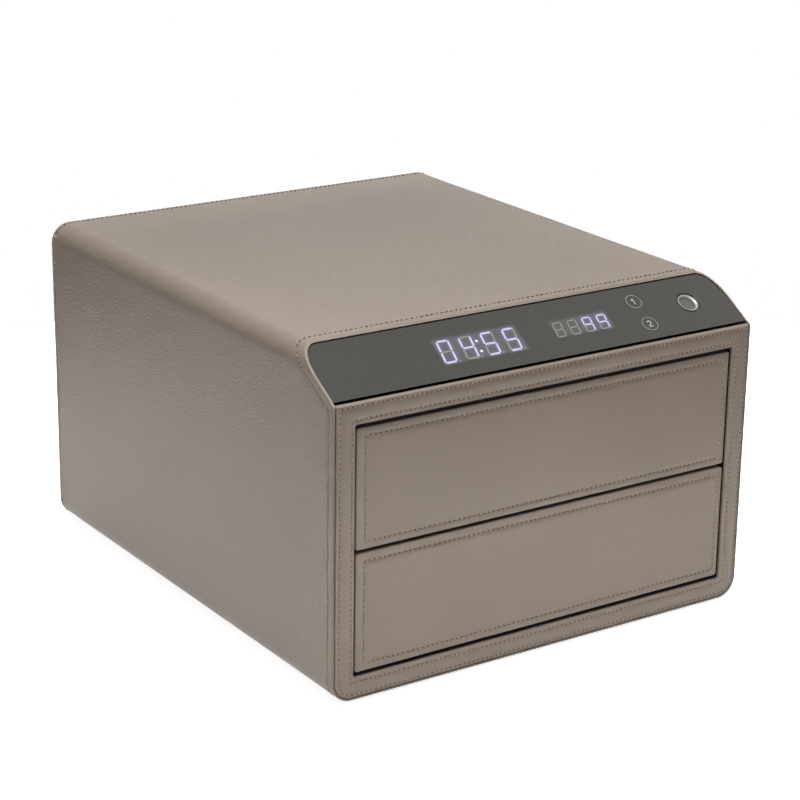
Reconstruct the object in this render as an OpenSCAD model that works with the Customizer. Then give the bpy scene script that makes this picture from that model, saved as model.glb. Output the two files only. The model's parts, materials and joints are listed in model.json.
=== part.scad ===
// Biometric jewelry safe: a leather-wrapped box with two drawers under a slanted glass panel.
// Frame: origin on the floor under the middle of the case, +X right, +Y to the back, +Z up.

/* [Case] */
// Width over the leather
case_w = 280; // [260:1:320]
// Depth over the leather, front to back
case_d = 322; // [310:1:360]
// Height over the leather, without the feet
case_h = 190; // [180:1:210]
// Outer radius of the four long edges
corner_r = 12; // [8:0.5:16]
// Thickness of the leather wrap
leather_t = 1.5; // [1:0.1:2]
// Radius of the wrap's rolled front and back edges
wrap_roll = 0.9; // [0.5:0.1:1.2]
// Thickness of the top, bottom and side boards
board_t = 11; // [10:0.5:13]
// Thickness of the back board
back_board_t = 9; // [7:0.5:11]
// Thickness of the steel liner and plates
liner_t = 1.2; // [0.8:0.1:1.5]

/* [Feet] */
// Height of a foot
foot_h = 2.5; // [1.5:0.5:5]
// Diameter of a foot
foot_d = 18; // [12:1:24]
// Distance of a foot's centre from the sides, front and back
foot_inset = 28; // [20:1:50]

/* [Facing frame] */
// Thickness of the facing frame round the drawers
facing_t = 1.6; // [1.2:0.1:2]
// How far the facing stands in over the boards' inner faces
facing_lip = 0.3; // [0.2:0.1:0.5]
// Height of the facing above the drawer opening
facing_top_band = 12.2; // [10:0.1:14]
// Corner radius of the drawer opening
opening_r = 2; // [1:0.5:4]

/* [Slanted panel] */
// Height that the slant takes off the front of the case
slant_drop = 23.8; // [22:0.1:26]
// Depth that the slant takes off the top of the case
slant_run = 39.4; // [38:0.1:44]
// Thickness of the glass
glass_t = 3; // [2:0.5:4]
// Depth of the glass below the leather's edge
glass_recess = 0.4; // [0.2:0.1:0.8]
// Gap between the glass and the leather beside and above it
glass_gap = 0.4; // [0.2:0.1:0.8]
// Gap between the glass and the facing below it
glass_foot_gap = 0.8; // [0.4:0.1:1.2]
// Thickness of the tray's flange behind the glass
tray_t = 2; // [1.5:0.5:2.5]

/* [Panel fittings] */
// Space between the glass and the control board
board_gap = 8; // [7:0.5:8.5]
// Thickness of a circuit board
circuit_t = 1.6; // [1:0.2:2]
// Height of the control board along the slant
control_h = 30; // [28:1:31]
// Width of the clock display
clock_w = 54.5; // [48:0.5:58]
// Height of the clock display
clock_h = 19; // [15:0.5:20]
// Width of the counter display
counter_w = 40.2; // [36:0.2:44]
// Height of the counter display
counter_h = 12.8; // [11:0.2:16]
// Diameter of a touch key
key_d = 10.6; // [9:0.2:12]
// Distance between the two touch keys along the slant
key_step = 17.6; // [15:0.2:19]
// Distance of the fingerprint sensor from the case's right side
finger_edge = 30.4; // [28:0.2:40]
// Distance from the fingerprint sensor to the touch keys
finger_to_key = 34; // [26:0.5:36]
// Distance from the touch keys to the middle of the counter
key_to_counter = 42.5; // [38:0.5:46]
// Distance from the middle of the counter to the middle of the clock
counter_to_clock = 69; // [60:0.5:74]
// Outer diameter of the fingerprint sensor's ring
finger_ring_d = 13.4; // [12:0.2:14]
// Width of the ring's bright band
finger_band = 1.6; // [1:0.1:2]
// Diameter of the countersink in the glass
finger_sink_d = 16.6; // [15.5:0.2:18]
// Depth of the ring's top below the glass
finger_sink = 1; // [0.6:0.1:1.4]

/* [Drawer fronts] */
// Gap at each side of a drawer front
front_side_gap = 1.5; // [1.4:0.1:2]
// Gap above, between and below the drawer fronts
front_gap = 2; // [1.8:0.1:3]
// Depth of the drawer fronts behind the facing
front_recess = 1; // [0.5:0.1:2]
// Thickness of a drawer front's board
front_board_t = 10; // [8:0.5:12]
// Thickness of a drawer front's leather
front_leather_t = 1.2; // [0.8:0.1:1.5]
// Corner radius of a drawer front
front_r = 1.6; // [1.6:0.1:3]
// Radius of the rolled edge round a drawer front's face
front_roll = 1; // [0.6:0.1:1.4]

/* [Drawer boxes] */
// Height of a drawer's walls
box_h = 50; // [44:1:54]
// Thickness of a drawer's walls
box_wall_t = 8; // [7:0.5:10]
// Height of a drawer's walls above the lower edge of its front
box_lift = 3; // [2:0.5:6]
// Thickness of a drawer's bottom panel
box_bottom_t = 4; // [3:0.5:5]
// Height of the bottom panel above the walls' lower edge
bottom_lift = 4; // [3:0.5:6]
// Depth of the groove that holds the bottom panel
groove_d = 4; // [2:0.5:5]
// Space behind a drawer for its lock and ejector
rear_space = 31; // [28:1:36]
// Thickness of the suede on the walls
lining_t = 1.2; // [0.8:0.1:2]
// Thickness of the floor pad
pad_t = 3; // [2:0.5:5]
// Thickness of a divider
divider_t = 6; // [4:0.5:8]
// Height of a divider above the floor pad
divider_h = 28; // [20:1:32]

/* [Drawer layout] */
// Number of ring rolls in the upper drawer
roll_count = 6; // [4:1:7]
// Width of a ring roll
roll_w = 13; // [11:0.5:14]
// Height of a ring roll
roll_h = 22; // [16:1:26]
// Depth of the upper drawer's middle compartments
middle_depth = 66; // [50:1:80]
// Number of the upper drawer's middle compartments
middle_count = 3; // [2:1:4]
// Number of the upper drawer's rear compartments
rear_count = 2; // [1:1:3]
// Depth of the lower drawer's front compartments
lower_front_depth = 122; // [90:1:150]
// Number of the lower drawer's front compartments
lower_front_count = 2; // [1:1:3]

/* [Drawer slides] */
// Travel of a drawer
drawer_travel = 180; // [140:1:190]
// Length of a slide rail
rail_len = 250; // [240:1:255]
// Width of a slide between the liner and the drawer
slide_w = 10; // [9.6:0.1:11]
// Sheet thickness of a rail
rail_sheet = 1.2; // [1:0.1:1.3]
// Diameter of a rail's screw holes
rail_screw_d = 4.2; // [3.5:0.1:5]
// Distance of a rail's outer screw holes from its ends
rail_screw_edge = 32; // [20:1:60]
// Ball diameter
ball_d = 3; // [2.8:0.1:3.2]
// Distance of the ball rows from the liner
ball_s = 5.2; // [5:0.1:5.4]
// Height of a ball row from the rail's middle
ball_rise = 5.9; // [5.6:0.1:6.4]
// Sheet thickness of a ball cage
cage_sheet = 0.5; // [0.4:0.1:0.6]
// Distance between the balls in a row
ball_pitch = 13; // [8:1:20]
// Height of a rail's middle above the drawer box's lower edge
rail_rise = 22; // [16:1:28]

/* [Locks] */
// Diameter of a lock bolt
bolt_d = 8; // [6:0.5:9]
// Travel of a lock bolt
bolt_throw = 10; // [6:0.5:14]
// Length of a lock bolt
bolt_len = 40; // [32:1:44]
// Position of a bolt's withdrawn end, left of the middle
bolt_end_x = 18; // [14:1:30]
// Height of a lock above the drawer box's lower edge
lock_rise = 25; // [18:1:30]
// Height of a lock housing
lock_h = 20; // [16:1:24]
// Sheet thickness of a strike
strike_t = 2; // [1.5:0.5:2.5]
// Position of the ejectors, right of the middle
ejector_x = 60; // [40:1:90]
// Wire diameter of an ejector spring
spring_wire = 1; // [0.8:0.1:1.2]
// Outer diameter of an ejector spring
spring_d = 11; // [9:0.5:14]
// Number of curls of an ejector spring
spring_curls = 9; // [5:1:11]

/* [Emergency key lock] */
// Diameter of the key lock's flange
key_flange_d = 22; // [20:0.5:26]
// Diameter of the key lock's barrel
key_barrel_d = 18; // [15:0.5:19]
// Diameter of the plug
key_plug_d = 12; // [10:0.5:13]
// Length of the cam from the plug's axis
cam_len = 24; // [16:1:26]
// Width of the cam
cam_w = 10; // [8:0.5:12]
// Thickness of the cam
cam_t = 2; // [1.5:0.5:2.5]

/* [Power] */
// Position of the power inlet, right of the middle
inlet_x = 80; // [40:1:100]
// Diameter of the power inlet's barrel
inlet_d = 11; // [10:0.5:12]
// Diameter of the power inlet's flange
inlet_flange_d = 14; // [13:0.5:16]
// Length of a backup battery cell
cell_len = 68; // [50:1:75]
// Diameter of a backup battery cell
cell_d = 17; // [14:0.5:18]
// Number of backup battery cells
cell_count = 2; // [1:1:3]
// Width of the power board
power_w = 60; // [50:1:70]
// Depth of the power board
power_d = 42; // [36:1:50]

/* [Hidden] */
$fn = 48;
// Gap round a piece that is pushed into its place
fit_gap = 0.1;
// Radial clearance of a turning or sliding fit
run_gap = 0.05;
// Overreach of a cutting shape past the face that it cuts
over = 1;

// Main planes of the case
front_y = -case_d / 2;
back_y = case_d / 2;
facing_back_y = front_y + facing_t;
carcass_back_y = back_y - leather_t;
back_board_y = carcass_back_y - back_board_t;
liner_back_y = back_board_y - liner_t;
in_x = case_w / 2 - leather_t - board_t;
in_z0 = leather_t + board_t;
in_z1 = case_h - leather_t - board_t;
liner_x = in_x - liner_t;

// Slanted panel: v runs up the slant from the facing's top edge, and d stands out of it
slant_z = case_h - slant_drop;
slant = atan(slant_drop / slant_run);
slant_len = norm([slant_run, slant_drop]);
slant_mid = slant_len / 2;
glass_back = glass_recess + glass_t;
panel_stack = glass_back + tray_t;
circuit_d = glass_back + board_gap;
glass_v0 = (facing_t + glass_foot_gap) / cos(slant);
finger_x = case_w / 2 - finger_edge;
key_x = finger_x - finger_to_key;
counter_x = key_x - key_to_counter;
clock_x = counter_x - counter_to_clock;
finger_shoulder = 1.3;
finger_body_d = finger_ring_d + 2 * finger_shoulder;
boss_d = 5;
board_screw_d = 2.5;
control_margin = boss_d + fit_gap;
control_x0 = clock_x - clock_w / 2 - control_margin;
control_x1 = finger_x + finger_body_d / 2 + control_margin;
pocket_gap = 0.5;
front_rail_depth = 8;

// Drawer opening and the drawers in it
open_x = in_x - facing_lip;
open_z0 = in_z0 + facing_lip;
open_z1 = slant_z - facing_top_band;
bay_z = open_z1 + facing_lip;
front_x = open_x - front_side_gap;
front_h = (open_z1 - open_z0 - 3 * front_gap) / 2;
front_face_y = front_y + front_recess;
front_back_y = front_face_y + front_leather_t + front_board_t;
middle_z = (open_z0 + open_z1) / 2;
LOWER = 0;
UPPER = 1;
function front_z(level) = open_z0 + front_gap + level * (front_h + front_gap);
function box_z(level) = front_z(level) + box_lift;
function floor_z(level) = box_z(level) + bottom_lift + box_bottom_t;
function lock_z(level) = box_z(level) + lock_rise;
function slide_z(level) = box_z(level) + rail_rise;
box_x = liner_x - slide_w;
box_back_y = liner_back_y - rear_space;
box_in_x = box_x - box_wall_t;
box_in_back_y = box_back_y - box_wall_t;
lined_x = box_in_x - lining_t;
lined_y0 = front_back_y + lining_t;
lined_y1 = box_in_back_y - lining_t;
rings_y1 = lined_y0 + roll_count * roll_w;
middle_y0 = rings_y1 + divider_t;
middle_y1 = middle_y0 + middle_depth;
lower_front_y1 = lined_y0 + lower_front_depth;

// Drawer slides
rail_setback = 3;
rail_y0 = front_back_y + rail_setback;
rail_mid_y = rail_y0 + rail_len / 2;
ball_groove_r = ball_d / 2 + run_gap;
curl_r = ball_groove_r + rail_sheet;
cage_gap = 0.15;
lip_half = cage_sheet / 2 + cage_gap;
cage_s0 = (rail_sheet + ball_s - curl_r - cage_sheet) / 2;
cage_clear = 0.8;
cage_s1 = slide_w - rail_sheet - cage_clear;
cage_spare = 4;
cage_end = 1;
cage_len = rail_len - drawer_travel - cage_spare;
ball_count = floor((cage_len - ball_d - 2 * cage_end) / ball_pitch) + 1;

// Locks and ejectors behind the drawers
bolt_gap = 2;
bolt_y = box_back_y + strike_t + bolt_gap + bolt_d / 2;
strike_gap = 0.6;
strike_spare = 6;
strike_x0 = -bolt_end_x + bolt_gap;
strike_x1 = strike_x0 + bolt_throw + strike_spare;
strike_tab_y = bolt_y + bolt_d / 2 + strike_gap;
lock_gap = 1;
lock_front_y = box_back_y + lock_gap;
bolt_show = 1;
lock_end_wall = 6;
lock_x1 = -bolt_end_x - bolt_show;
lock_x0 = lock_x1 - bolt_len - lock_end_wall;
lock_ear = 7;
lock_screw_d = 3.4;
post_gap = 0.5;
post_d = spring_d - 2 * spring_wire - 2 * post_gap;
post_len = 14;
post_flange_t = 2;
spring_gap = 0.3;
spring_y0 = box_back_y + spring_gap;
spring_y1 = liner_back_y - post_flange_t - fit_gap;

// Key lock and power inlet in the back
key_lock_z = middle_z;
key_reach = 8;
key_inner_y = liner_back_y - key_reach;
key_nut_t = 4;
key_nut_wall = 3.5;
key_nut_d = key_barrel_d + 2 * key_nut_wall;
key_tail_step = 2;
key_tail_d = key_plug_d - 2 * key_tail_step;
key_tail_flat = 6;
key_tail_spare = 1;
key_tail_len = cam_t + key_tail_spare;
cam_eye_wall = 4;
keyway = [2.2, 7.5, 14];
inlet_z = (bay_z + in_z1) / 2;
inlet_bore_d = 5.7;
inlet_bore_len = 9.5;
inlet_pin_d = 2;
inlet_pin_len = 8;
inlet_tail = 5;
power_y = 96;
power_shift = 12;
power_x = inlet_x - power_shift;
battery_edge = 30;
battery_x = -liner_x + battery_edge + cell_len / 2;
battery_y = 20;
holder_t = 1.6;
holder_share = 0.6;
cells_depth = cell_count * cell_d + (cell_count - 1) * fit_gap;
power_pillar_d = 5;
power_pillar_h = 3;

// Placing helpers

// Stands the case on its feet
module on_feet() {
    translate([0, 0, foot_h]) children();
}

// Extrudes an x-z outline from y0 to y1
module along_y(y0, y1) {
    translate([0, y1, 0]) rotate([90, 0, 0]) linear_extrude(y1 - y0) children();
}

// Extrudes a y-z outline from x0 to x1
module along_x(x0, x1) {
    translate([x0, 0, 0]) rotate([90, 0, 90]) linear_extrude(x1 - x0) children();
}

// Box between two corners
module block(low, high) {
    translate(low) cube(high - low);
}

// Round bar along y
module bar_y(x, z, d, y0, y1) {
    along_y(y0, y1) translate([x, z]) circle(d = d);
}

// Places children on the slant: x across, y up the slant, z out of it
module on_slant() {
    translate([0, front_y, slant_z]) rotate([slant, 0, 0]) children();
}

// Rounded rectangle round the origin
module rounded_rect(w, h, r) {
    square([w - 2 * r, h], center = true);
    square([w, h - 2 * r], center = true);
    for (sx = [-1, 1], sz = [-1, 1])
        translate([sx * (w / 2 - r), sz * (h / 2 - r)]) circle(r);
}

// Outline of a cut that rolls an edge over, from its corner at the origin
module roll_outline(roll) {
    difference() {
        translate([-over, -over]) square(roll + over);
        translate([roll, roll]) circle(roll);
    }
}

// Cuts that roll over the edges round the y0 end of a bar with a rounded-rectangle section
module roll_cuts(w, h, r, y0, roll) {
    x = w / 2 - r;
    z = h / 2 - r;
    for (side = [-1, 1]) {
        flip = side > 0 ? 1 : 0;
        along_x(-x, x) translate([y0, side * h / 2]) mirror([0, flip]) roll_outline(roll);
        translate([0, 0, -z]) linear_extrude(2 * z)
            translate([side * w / 2, y0]) mirror([flip, 0]) roll_outline(roll);
        for (up = [-1, 1])
            translate([side * x, y0, up * z]) mirror([1 - flip, 0, 0]) mirror([0, 0, up > 0 ? 0 : 1])
                roll_corner(r, roll);
    }
}

// Quarter turn of the roll round a corner's axis
module roll_corner(r, roll) {
    intersection() {
        rotate([-90, 0, 0]) rotate_extrude() translate([r, 0]) mirror([1, 0]) roll_outline(roll);
        translate([0, -2 * over, 0]) cube([r + over, roll + 3 * over, r + over]);
    }
}

// Cross-section of the case, inset from its outer face
module case_section(inset) {
    translate([0, case_h / 2])
        rounded_rect(case_w - 2 * inset, case_h - 2 * inset, corner_r - inset);
}

// All that lies above the slant at a depth below its face
module above_slant(depth) {
    on_slant() block([-case_w, -case_h, -depth], [case_w, case_h, case_h]);
}

// Slab of the slanted panel between two depths, as wide as the leather leaves room for
module slant_plate(top, bottom, gap) {
    intersection() {
        along_y(front_y, back_y) case_section(leather_t + gap);
        on_slant() block([-case_w, glass_v0, -bottom], [case_w, case_h, -top]);
    }
}

// Round bar out of the slant, centred at x and v
module slant_bar(x, v, d, top, bottom) {
    on_slant() translate([x, v, -bottom]) cylinder(d = d, h = bottom - top);
}

// Block under the slant, centred at x and v
module slant_block(x, v, w, h, top, bottom) {
    on_slant() block([x - w / 2, v - h / 2, -bottom], [x + w / 2, v + h / 2, -top]);
}

// Room for the control board and what stands on it
module panel_pocket() {
    slant_block(
        (control_x0 + control_x1) / 2, slant_mid,
        control_x1 - control_x0 + 2 * pocket_gap, control_h + 2 * pocket_gap,
        0, circuit_d + circuit_t + pocket_gap
    );
}

// Carcass of boards inside the leather, with the slant and the panel's pocket taken off
module carcass() {
    difference() {
        along_y(facing_back_y, carcass_back_y) case_section(leather_t + fit_gap);
        above_slant(panel_stack);
        panel_pocket();
    }
}

// Case

module leather_wrap() {
    color([0.53, 0.49, 0.46]) on_feet() difference() {
        along_y(front_y, back_y) difference() {
            case_section(0);
            case_section(leather_t);
        }
        above_slant(0);
        translate([0, 0, case_h / 2]) for (end = [0, 1])
            mirror([0, end, 0]) roll_cuts(case_w, case_h, corner_r, front_y, wrap_roll);
    }
}

module back_cover() {
    color([0.53, 0.49, 0.46]) on_feet() difference() {
        along_y(carcass_back_y, back_y) case_section(leather_t + fit_gap);
        bar_y(0, key_lock_z, key_flange_d + 2 * fit_gap, carcass_back_y - over, back_y + over);
        bar_y(inlet_x, inlet_z, inlet_flange_d + 2 * fit_gap, carcass_back_y - over, back_y + over);
    }
}

module facing_frame() {
    color([0.53, 0.48, 0.45]) on_feet() difference() {
        along_y(front_y, facing_back_y) difference() {
            case_section(leather_t + fit_gap);
            translate([0, middle_z]) rounded_rect(2 * open_x, open_z1 - open_z0, opening_r);
        }
        above_slant(0);
    }
}

module top_board() {
    color("burlywood") on_feet() intersection() {
        carcass();
        block([-case_w, front_y, in_z1], [case_w, back_y, case_h]);
    }
}

module bottom_board() {
    color("burlywood") on_feet() intersection() {
        carcass();
        block([-case_w, front_y, 0], [case_w, back_y, in_z0]);
    }
}

module side_boards() {
    color("burlywood") on_feet() for (side = [-1, 1]) intersection() {
        carcass();
        translate([side * (in_x + case_w / 2), 0, (in_z0 + in_z1) / 2])
            cube([case_w, case_d, in_z1 - in_z0], center = true);
    }
}

module back_board() {
    color("burlywood") on_feet() difference() {
        block([-in_x, back_board_y, in_z0], [in_x, carcass_back_y, in_z1]);
        bar_y(0, key_lock_z, key_barrel_d + 2 * fit_gap, back_board_y - over, carcass_back_y + over);
        bar_y(inlet_x, inlet_z, inlet_d + 2 * fit_gap, back_board_y - over, carcass_back_y + over);
    }
}

// Wedge of board between the facing, the electronics bay and the slanted tray
module front_rail() {
    color("burlywood") on_feet() difference() {
        block([-in_x, facing_back_y, bay_z], [in_x, facing_back_y + front_rail_depth, in_z1]);
        above_slant(panel_stack);
        panel_pocket();
    }
}

// Folded steel round the drawers, open at the front and under the bay plate
module steel_liner() {
    color("dimgray") on_feet() difference() {
        block([-in_x, facing_back_y, in_z0], [in_x, back_board_y, bay_z]);
        block([-liner_x, facing_back_y - over, in_z0 + liner_t], [liner_x, liner_back_y, bay_z + over]);
        bar_y(0, key_lock_z, key_barrel_d + 2 * fit_gap, liner_back_y - over, back_board_y + over);
    }
}

// Steel floor of the electronics bay, with the power board's pillars
module bay_plate() {
    color("dimgray") on_feet() {
        block([-liner_x, facing_back_y, bay_z - liner_t], [liner_x, liner_back_y, bay_z]);
        for (sx = [-1, 1], sy = [-1, 1])
            translate([
                power_x + sx * (power_w / 2 - power_pillar_d),
                power_y + sy * (power_d / 2 - power_pillar_d),
                bay_z - liner_t / 2
            ]) cylinder(d = power_pillar_d, h = power_pillar_h + liner_t / 2);
    }
}

// Steel plate between the drawers, its side flanges turned down along the liner
module divider_plate() {
    flange_h = 10;
    top = middle_z + liner_t / 2;
    color("dimgray") on_feet() difference() {
        block([-liner_x, front_back_y + over, top - flange_h], [liner_x, box_back_y, top]);
        block([-liner_x + liner_t, front_back_y, top - flange_h - over], [liner_x - liner_t, back_y, top - liner_t]);
    }
}

module feet() {
    rim = 1;
    color([0.08, 0.08, 0.08])
        for (sx = [-1, 1], sy = [-1, 1])
            translate([sx * (case_w / 2 - foot_inset), sy * (case_d / 2 - foot_inset), 0]) {
                cylinder(d1 = foot_d - 2 * rim, d2 = foot_d, h = rim);
                translate([0, 0, rim]) cylinder(d = foot_d, h = foot_h - rim);
            }
}

// Slanted panel

module glass_panel() {
    sink_reach = 2 * finger_sink;
    sink_slope = (finger_sink_d - finger_ring_d) / (2 * finger_sink);
    color([0.12, 0.12, 0.12]) on_feet() difference() {
        slant_plate(glass_recess, glass_back, glass_gap);
        slant_bar(finger_x, slant_mid, finger_ring_d + 2 * fit_gap, 0, glass_back + over);
        // Countersink round the fingerprint sensor
        on_slant() translate([finger_x, slant_mid, -glass_recess - finger_sink])
            cylinder(
                d1 = finger_ring_d,
                d2 = finger_ring_d + 2 * sink_slope * sink_reach,
                h = sink_reach
            );
    }
}

module panel_tray() {
    window_w = control_x1 - control_x0 - 2 * boss_d;
    window_x = (control_x0 + control_x1) / 2;
    color([0.05, 0.05, 0.05]) on_feet() {
        difference() {
            slant_plate(glass_back, panel_stack, glass_gap);
            slant_block(window_x, slant_mid, window_w, control_h, glass_back - over, panel_stack + over);
        }
        at_boss() slant_boss();
    }
}

// Corners of the control board, where its bosses and screws are
module at_boss() {
    for (x = [control_x0 + boss_d / 2, control_x1 - boss_d / 2], up = [-1, 1])
        on_slant() translate([x, slant_mid + up * (control_h - boss_d) / 2, 0]) children();
}

// Boss from the tray's flange down to the control board, bored for its screw
module slant_boss() {
    translate([0, 0, -circuit_d]) difference() {
        cylinder(d = boss_d, h = circuit_d - glass_back - tray_t / 2);
        translate([0, 0, -over]) cylinder(d = board_screw_d, h = board_gap - tray_t);
    }
}

module control_board() {
    chip = [14, 14, 1.4];
    plug = [16, 6, 5];
    mid_x = (control_x0 + control_x1) / 2;
    color("darkgreen") on_feet() {
        difference() {
            slant_block(mid_x, slant_mid, control_x1 - control_x0, control_h, circuit_d, circuit_d + circuit_t);
            at_boss() translate([0, 0, -circuit_d - circuit_t - over])
                cylinder(d = board_screw_d + 2 * fit_gap, h = circuit_t + 2 * over);
        }
        slant_block(mid_x, slant_mid, chip.x, chip.y, circuit_d + circuit_t / 2, circuit_d + circuit_t + chip.z);
        slant_block(clock_x, slant_mid, plug.x, plug.y, circuit_d + circuit_t / 2, circuit_d + circuit_t + plug.z);
    }
}

module board_screws() {
    head_rim = 0.2;
    head_d = boss_d - 2 * head_rim;
    head_h = 1.8;
    shank = board_gap - tray_t - over;
    color("silver") on_feet() at_boss() translate([0, 0, -circuit_d - circuit_t]) {
        translate([0, 0, -head_h]) cylinder(d = head_d, h = head_h);
        translate([0, 0, -head_h / 2]) cylinder(d = board_screw_d - 2 * run_gap, h = shank + head_h / 2);
    }
}

module clock_display() {
    color([0.2, 0.2, 0.2]) on_feet()
        slant_block(clock_x, slant_mid, clock_w, clock_h, glass_back, circuit_d);
}

module counter_display() {
    color([0.2, 0.2, 0.2]) on_feet()
        slant_block(counter_x, slant_mid, counter_w, counter_h, glass_back, circuit_d);
}

module touch_pads() {
    color("gainsboro") on_feet() for (up = [-1, 1])
        slant_bar(key_x, slant_mid + up * key_step / 2, key_d, glass_back, circuit_d);
}

// Bright ring with its inner edge dished towards the sensor
module fingerprint_ring() {
    outer_r = finger_ring_d / 2;
    inner_r = outer_r - finger_band;
    top = -glass_recess - finger_sink;
    dish = 0.5;
    color("silver") on_feet() on_slant() translate([finger_x, slant_mid, 0]) rotate_extrude()
        polygon([
            [inner_r, -glass_back], [outer_r, -glass_back], [outer_r, top - dish / 2],
            [outer_r - dish / 2, top], [inner_r + dish, top], [inner_r, top - dish]
        ]);
}

module fingerprint_sensor() {
    face_d = finger_ring_d - 2 * finger_band - 2 * fit_gap;
    face_drop = 0.8;
    color([0.35, 0.34, 0.33]) on_feet() {
        slant_bar(finger_x, slant_mid, face_d, glass_recess + finger_sink + face_drop, glass_back + over);
        slant_bar(finger_x, slant_mid, finger_body_d, glass_back, circuit_d);
    }
}

// Electronics bay

// Cells side by side in their holder, each with the button of its contact
module backup_battery() {
    button_d = 5;
    button_h = 1.2;
    color([0.1, 0.15, 0.3]) on_feet() translate([battery_x, battery_y, bay_z + holder_t + fit_gap])
        for (i = [0 : cell_count - 1])
            translate([-cell_len / 2, (i - (cell_count - 1) / 2) * (cell_d + fit_gap), cell_d / 2])
                rotate([0, 90, 0]) {
                    cylinder(d = cell_d, h = cell_len - button_h);
                    translate([0, 0, button_h]) cylinder(d = button_d, h = cell_len - button_h);
                }
}

// Open tray on the bay's floor that holds the cells
module battery_holder() {
    pocket = [cell_len + 2 * fit_gap, cells_depth + 2 * fit_gap, cell_d];
    shell = [pocket.x + 2 * holder_t, pocket.y + 2 * holder_t, holder_t + holder_share * cell_d];
    color([0.06, 0.06, 0.06]) on_feet() translate([battery_x, battery_y, bay_z]) difference() {
        translate([-shell.x / 2, -shell.y / 2, 0]) cube(shell);
        translate([-pocket.x / 2, -pocket.y / 2, holder_t]) cube(pocket);
    }
}

module power_board() {
    base = bay_z + power_pillar_h;
    top = base + circuit_t;
    choke = [16, 16, 9];
    can_d = 8;
    can_h = 11;
    can_gap = 2;
    color("darkgreen") on_feet() {
        translate([power_x - power_w / 2, power_y - power_d / 2, base])
            cube([power_w, power_d, circuit_t]);
        translate([power_x - choke.x, power_y - choke.y / 2, top - circuit_t / 2])
            cube([choke.x, choke.y, choke.z + circuit_t / 2]);
        for (i = [0, 1])
            translate([power_x + can_d, power_y + (i - 0.5) * (can_d + can_gap), top - circuit_t / 2])
                cylinder(d = can_d, h = can_h + circuit_t / 2);
    }
}

module power_inlet() {
    floor_y = back_y - inlet_bore_len;
    color([0.06, 0.06, 0.06]) on_feet() {
        difference() {
            union() {
                bar_y(inlet_x, inlet_z, inlet_flange_d, carcass_back_y, back_y);
                bar_y(inlet_x, inlet_z, inlet_d, back_board_y - inlet_tail, carcass_back_y + leather_t / 2);
            }
            bar_y(inlet_x, inlet_z, inlet_bore_d, floor_y, back_y + over);
        }
        bar_y(inlet_x, inlet_z, inlet_pin_d, floor_y - over, floor_y + inlet_pin_len);
    }
}

// Emergency key lock

module key_lock_barrel() {
    color("silver") on_feet() difference() {
        union() {
            bar_y(0, key_lock_z, key_flange_d, carcass_back_y, back_y);
            bar_y(0, key_lock_z, key_barrel_d, key_inner_y, carcass_back_y + leather_t / 2);
        }
        bar_y(0, key_lock_z, key_plug_d + 2 * run_gap, key_inner_y - over, back_y + over);
    }
}

module key_lock_nut() {
    color("silver") on_feet() difference() {
        along_y(liner_back_y - key_nut_t, liner_back_y) translate([0, key_lock_z]) circle(d = key_nut_d, $fn = 6);
        bar_y(0, key_lock_z, key_barrel_d + 2 * run_gap, liner_back_y - key_nut_t - over, liner_back_y + over);
    }
}

// Plug with its keyway, and a flat-sided tail for the cam
module key_lock_plug() {
    sink = 0.3;
    color("gainsboro") on_feet() difference() {
        union() {
            bar_y(0, key_lock_z, key_plug_d, key_inner_y, back_y - sink);
            along_y(key_inner_y - key_tail_len, key_inner_y + over) cam_seat(0);
        }
        translate([0, back_y - keyway.z / 2, key_lock_z])
            cube([keyway.x, keyway.z, keyway.y], center = true);
    }
}

// Tail outline that keys the cam to the plug
module cam_seat(gap) {
    translate([0, key_lock_z]) intersection() {
        circle(d = key_tail_d + 2 * gap);
        square([key_tail_flat + 2 * gap, 2 * key_tail_d], center = true);
    }
}

// Cam that hangs down at rest
module key_lock_cam() {
    y1 = key_inner_y - fit_gap;
    color("gray") on_feet() along_y(y1 - cam_t, y1) difference() {
        union() {
            translate([0, key_lock_z]) circle(d = key_tail_d + 2 * cam_eye_wall);
            translate([-cam_w / 2, key_lock_z - cam_len + cam_w / 2]) square([cam_w, cam_len - cam_w / 2]);
            translate([0, key_lock_z - cam_len + cam_w / 2]) circle(d = cam_w);
        }
        cam_seat(run_gap);
    }
}

// Drawer slides

// Turns a rail's outline, drawn from the wall inwards, to the left or right wall of the liner
module at_wall(side, z) {
    translate([side * liner_x, z]) mirror([side > 0 ? 1 : 0, 0]) children();
}

// Both ball rows of a rail's outline
module at_ball_rows() {
    for (up = [-1, 1])
        translate([ball_s, up * ball_rise]) mirror([0, up < 0 ? 1 : 0]) children();
}

// Channel on the liner, its edges curled over the balls
module outer_rail_outline() {
    half_h = ball_rise + curl_r;
    difference() {
        union() {
            translate([0, -half_h]) square([rail_sheet, 2 * half_h]);
            at_ball_rows() {
                translate([-ball_s, ball_groove_r]) square([ball_s, rail_sheet]);
                intersection() {
                    circle(curl_r);
                    translate([-curl_r, lip_half]) square([2 * curl_r, curl_r]);
                }
            }
        }
        at_ball_rows() circle(ball_groove_r);
    }
}

// Channel on the drawer, its edges curled under the balls
module inner_rail_outline() {
    half_h = ball_rise - ball_groove_r;
    difference() {
        union() {
            translate([slide_w - rail_sheet, -half_h]) square([rail_sheet, 2 * half_h]);
            at_ball_rows() {
                translate([0, -curl_r]) square([slide_w - ball_s, rail_sheet]);
                intersection() {
                    circle(curl_r);
                    translate([-curl_r, -curl_r]) square([2 * curl_r, curl_r - lip_half]);
                }
            }
        }
        at_ball_rows() circle(ball_groove_r);
    }
}

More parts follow.
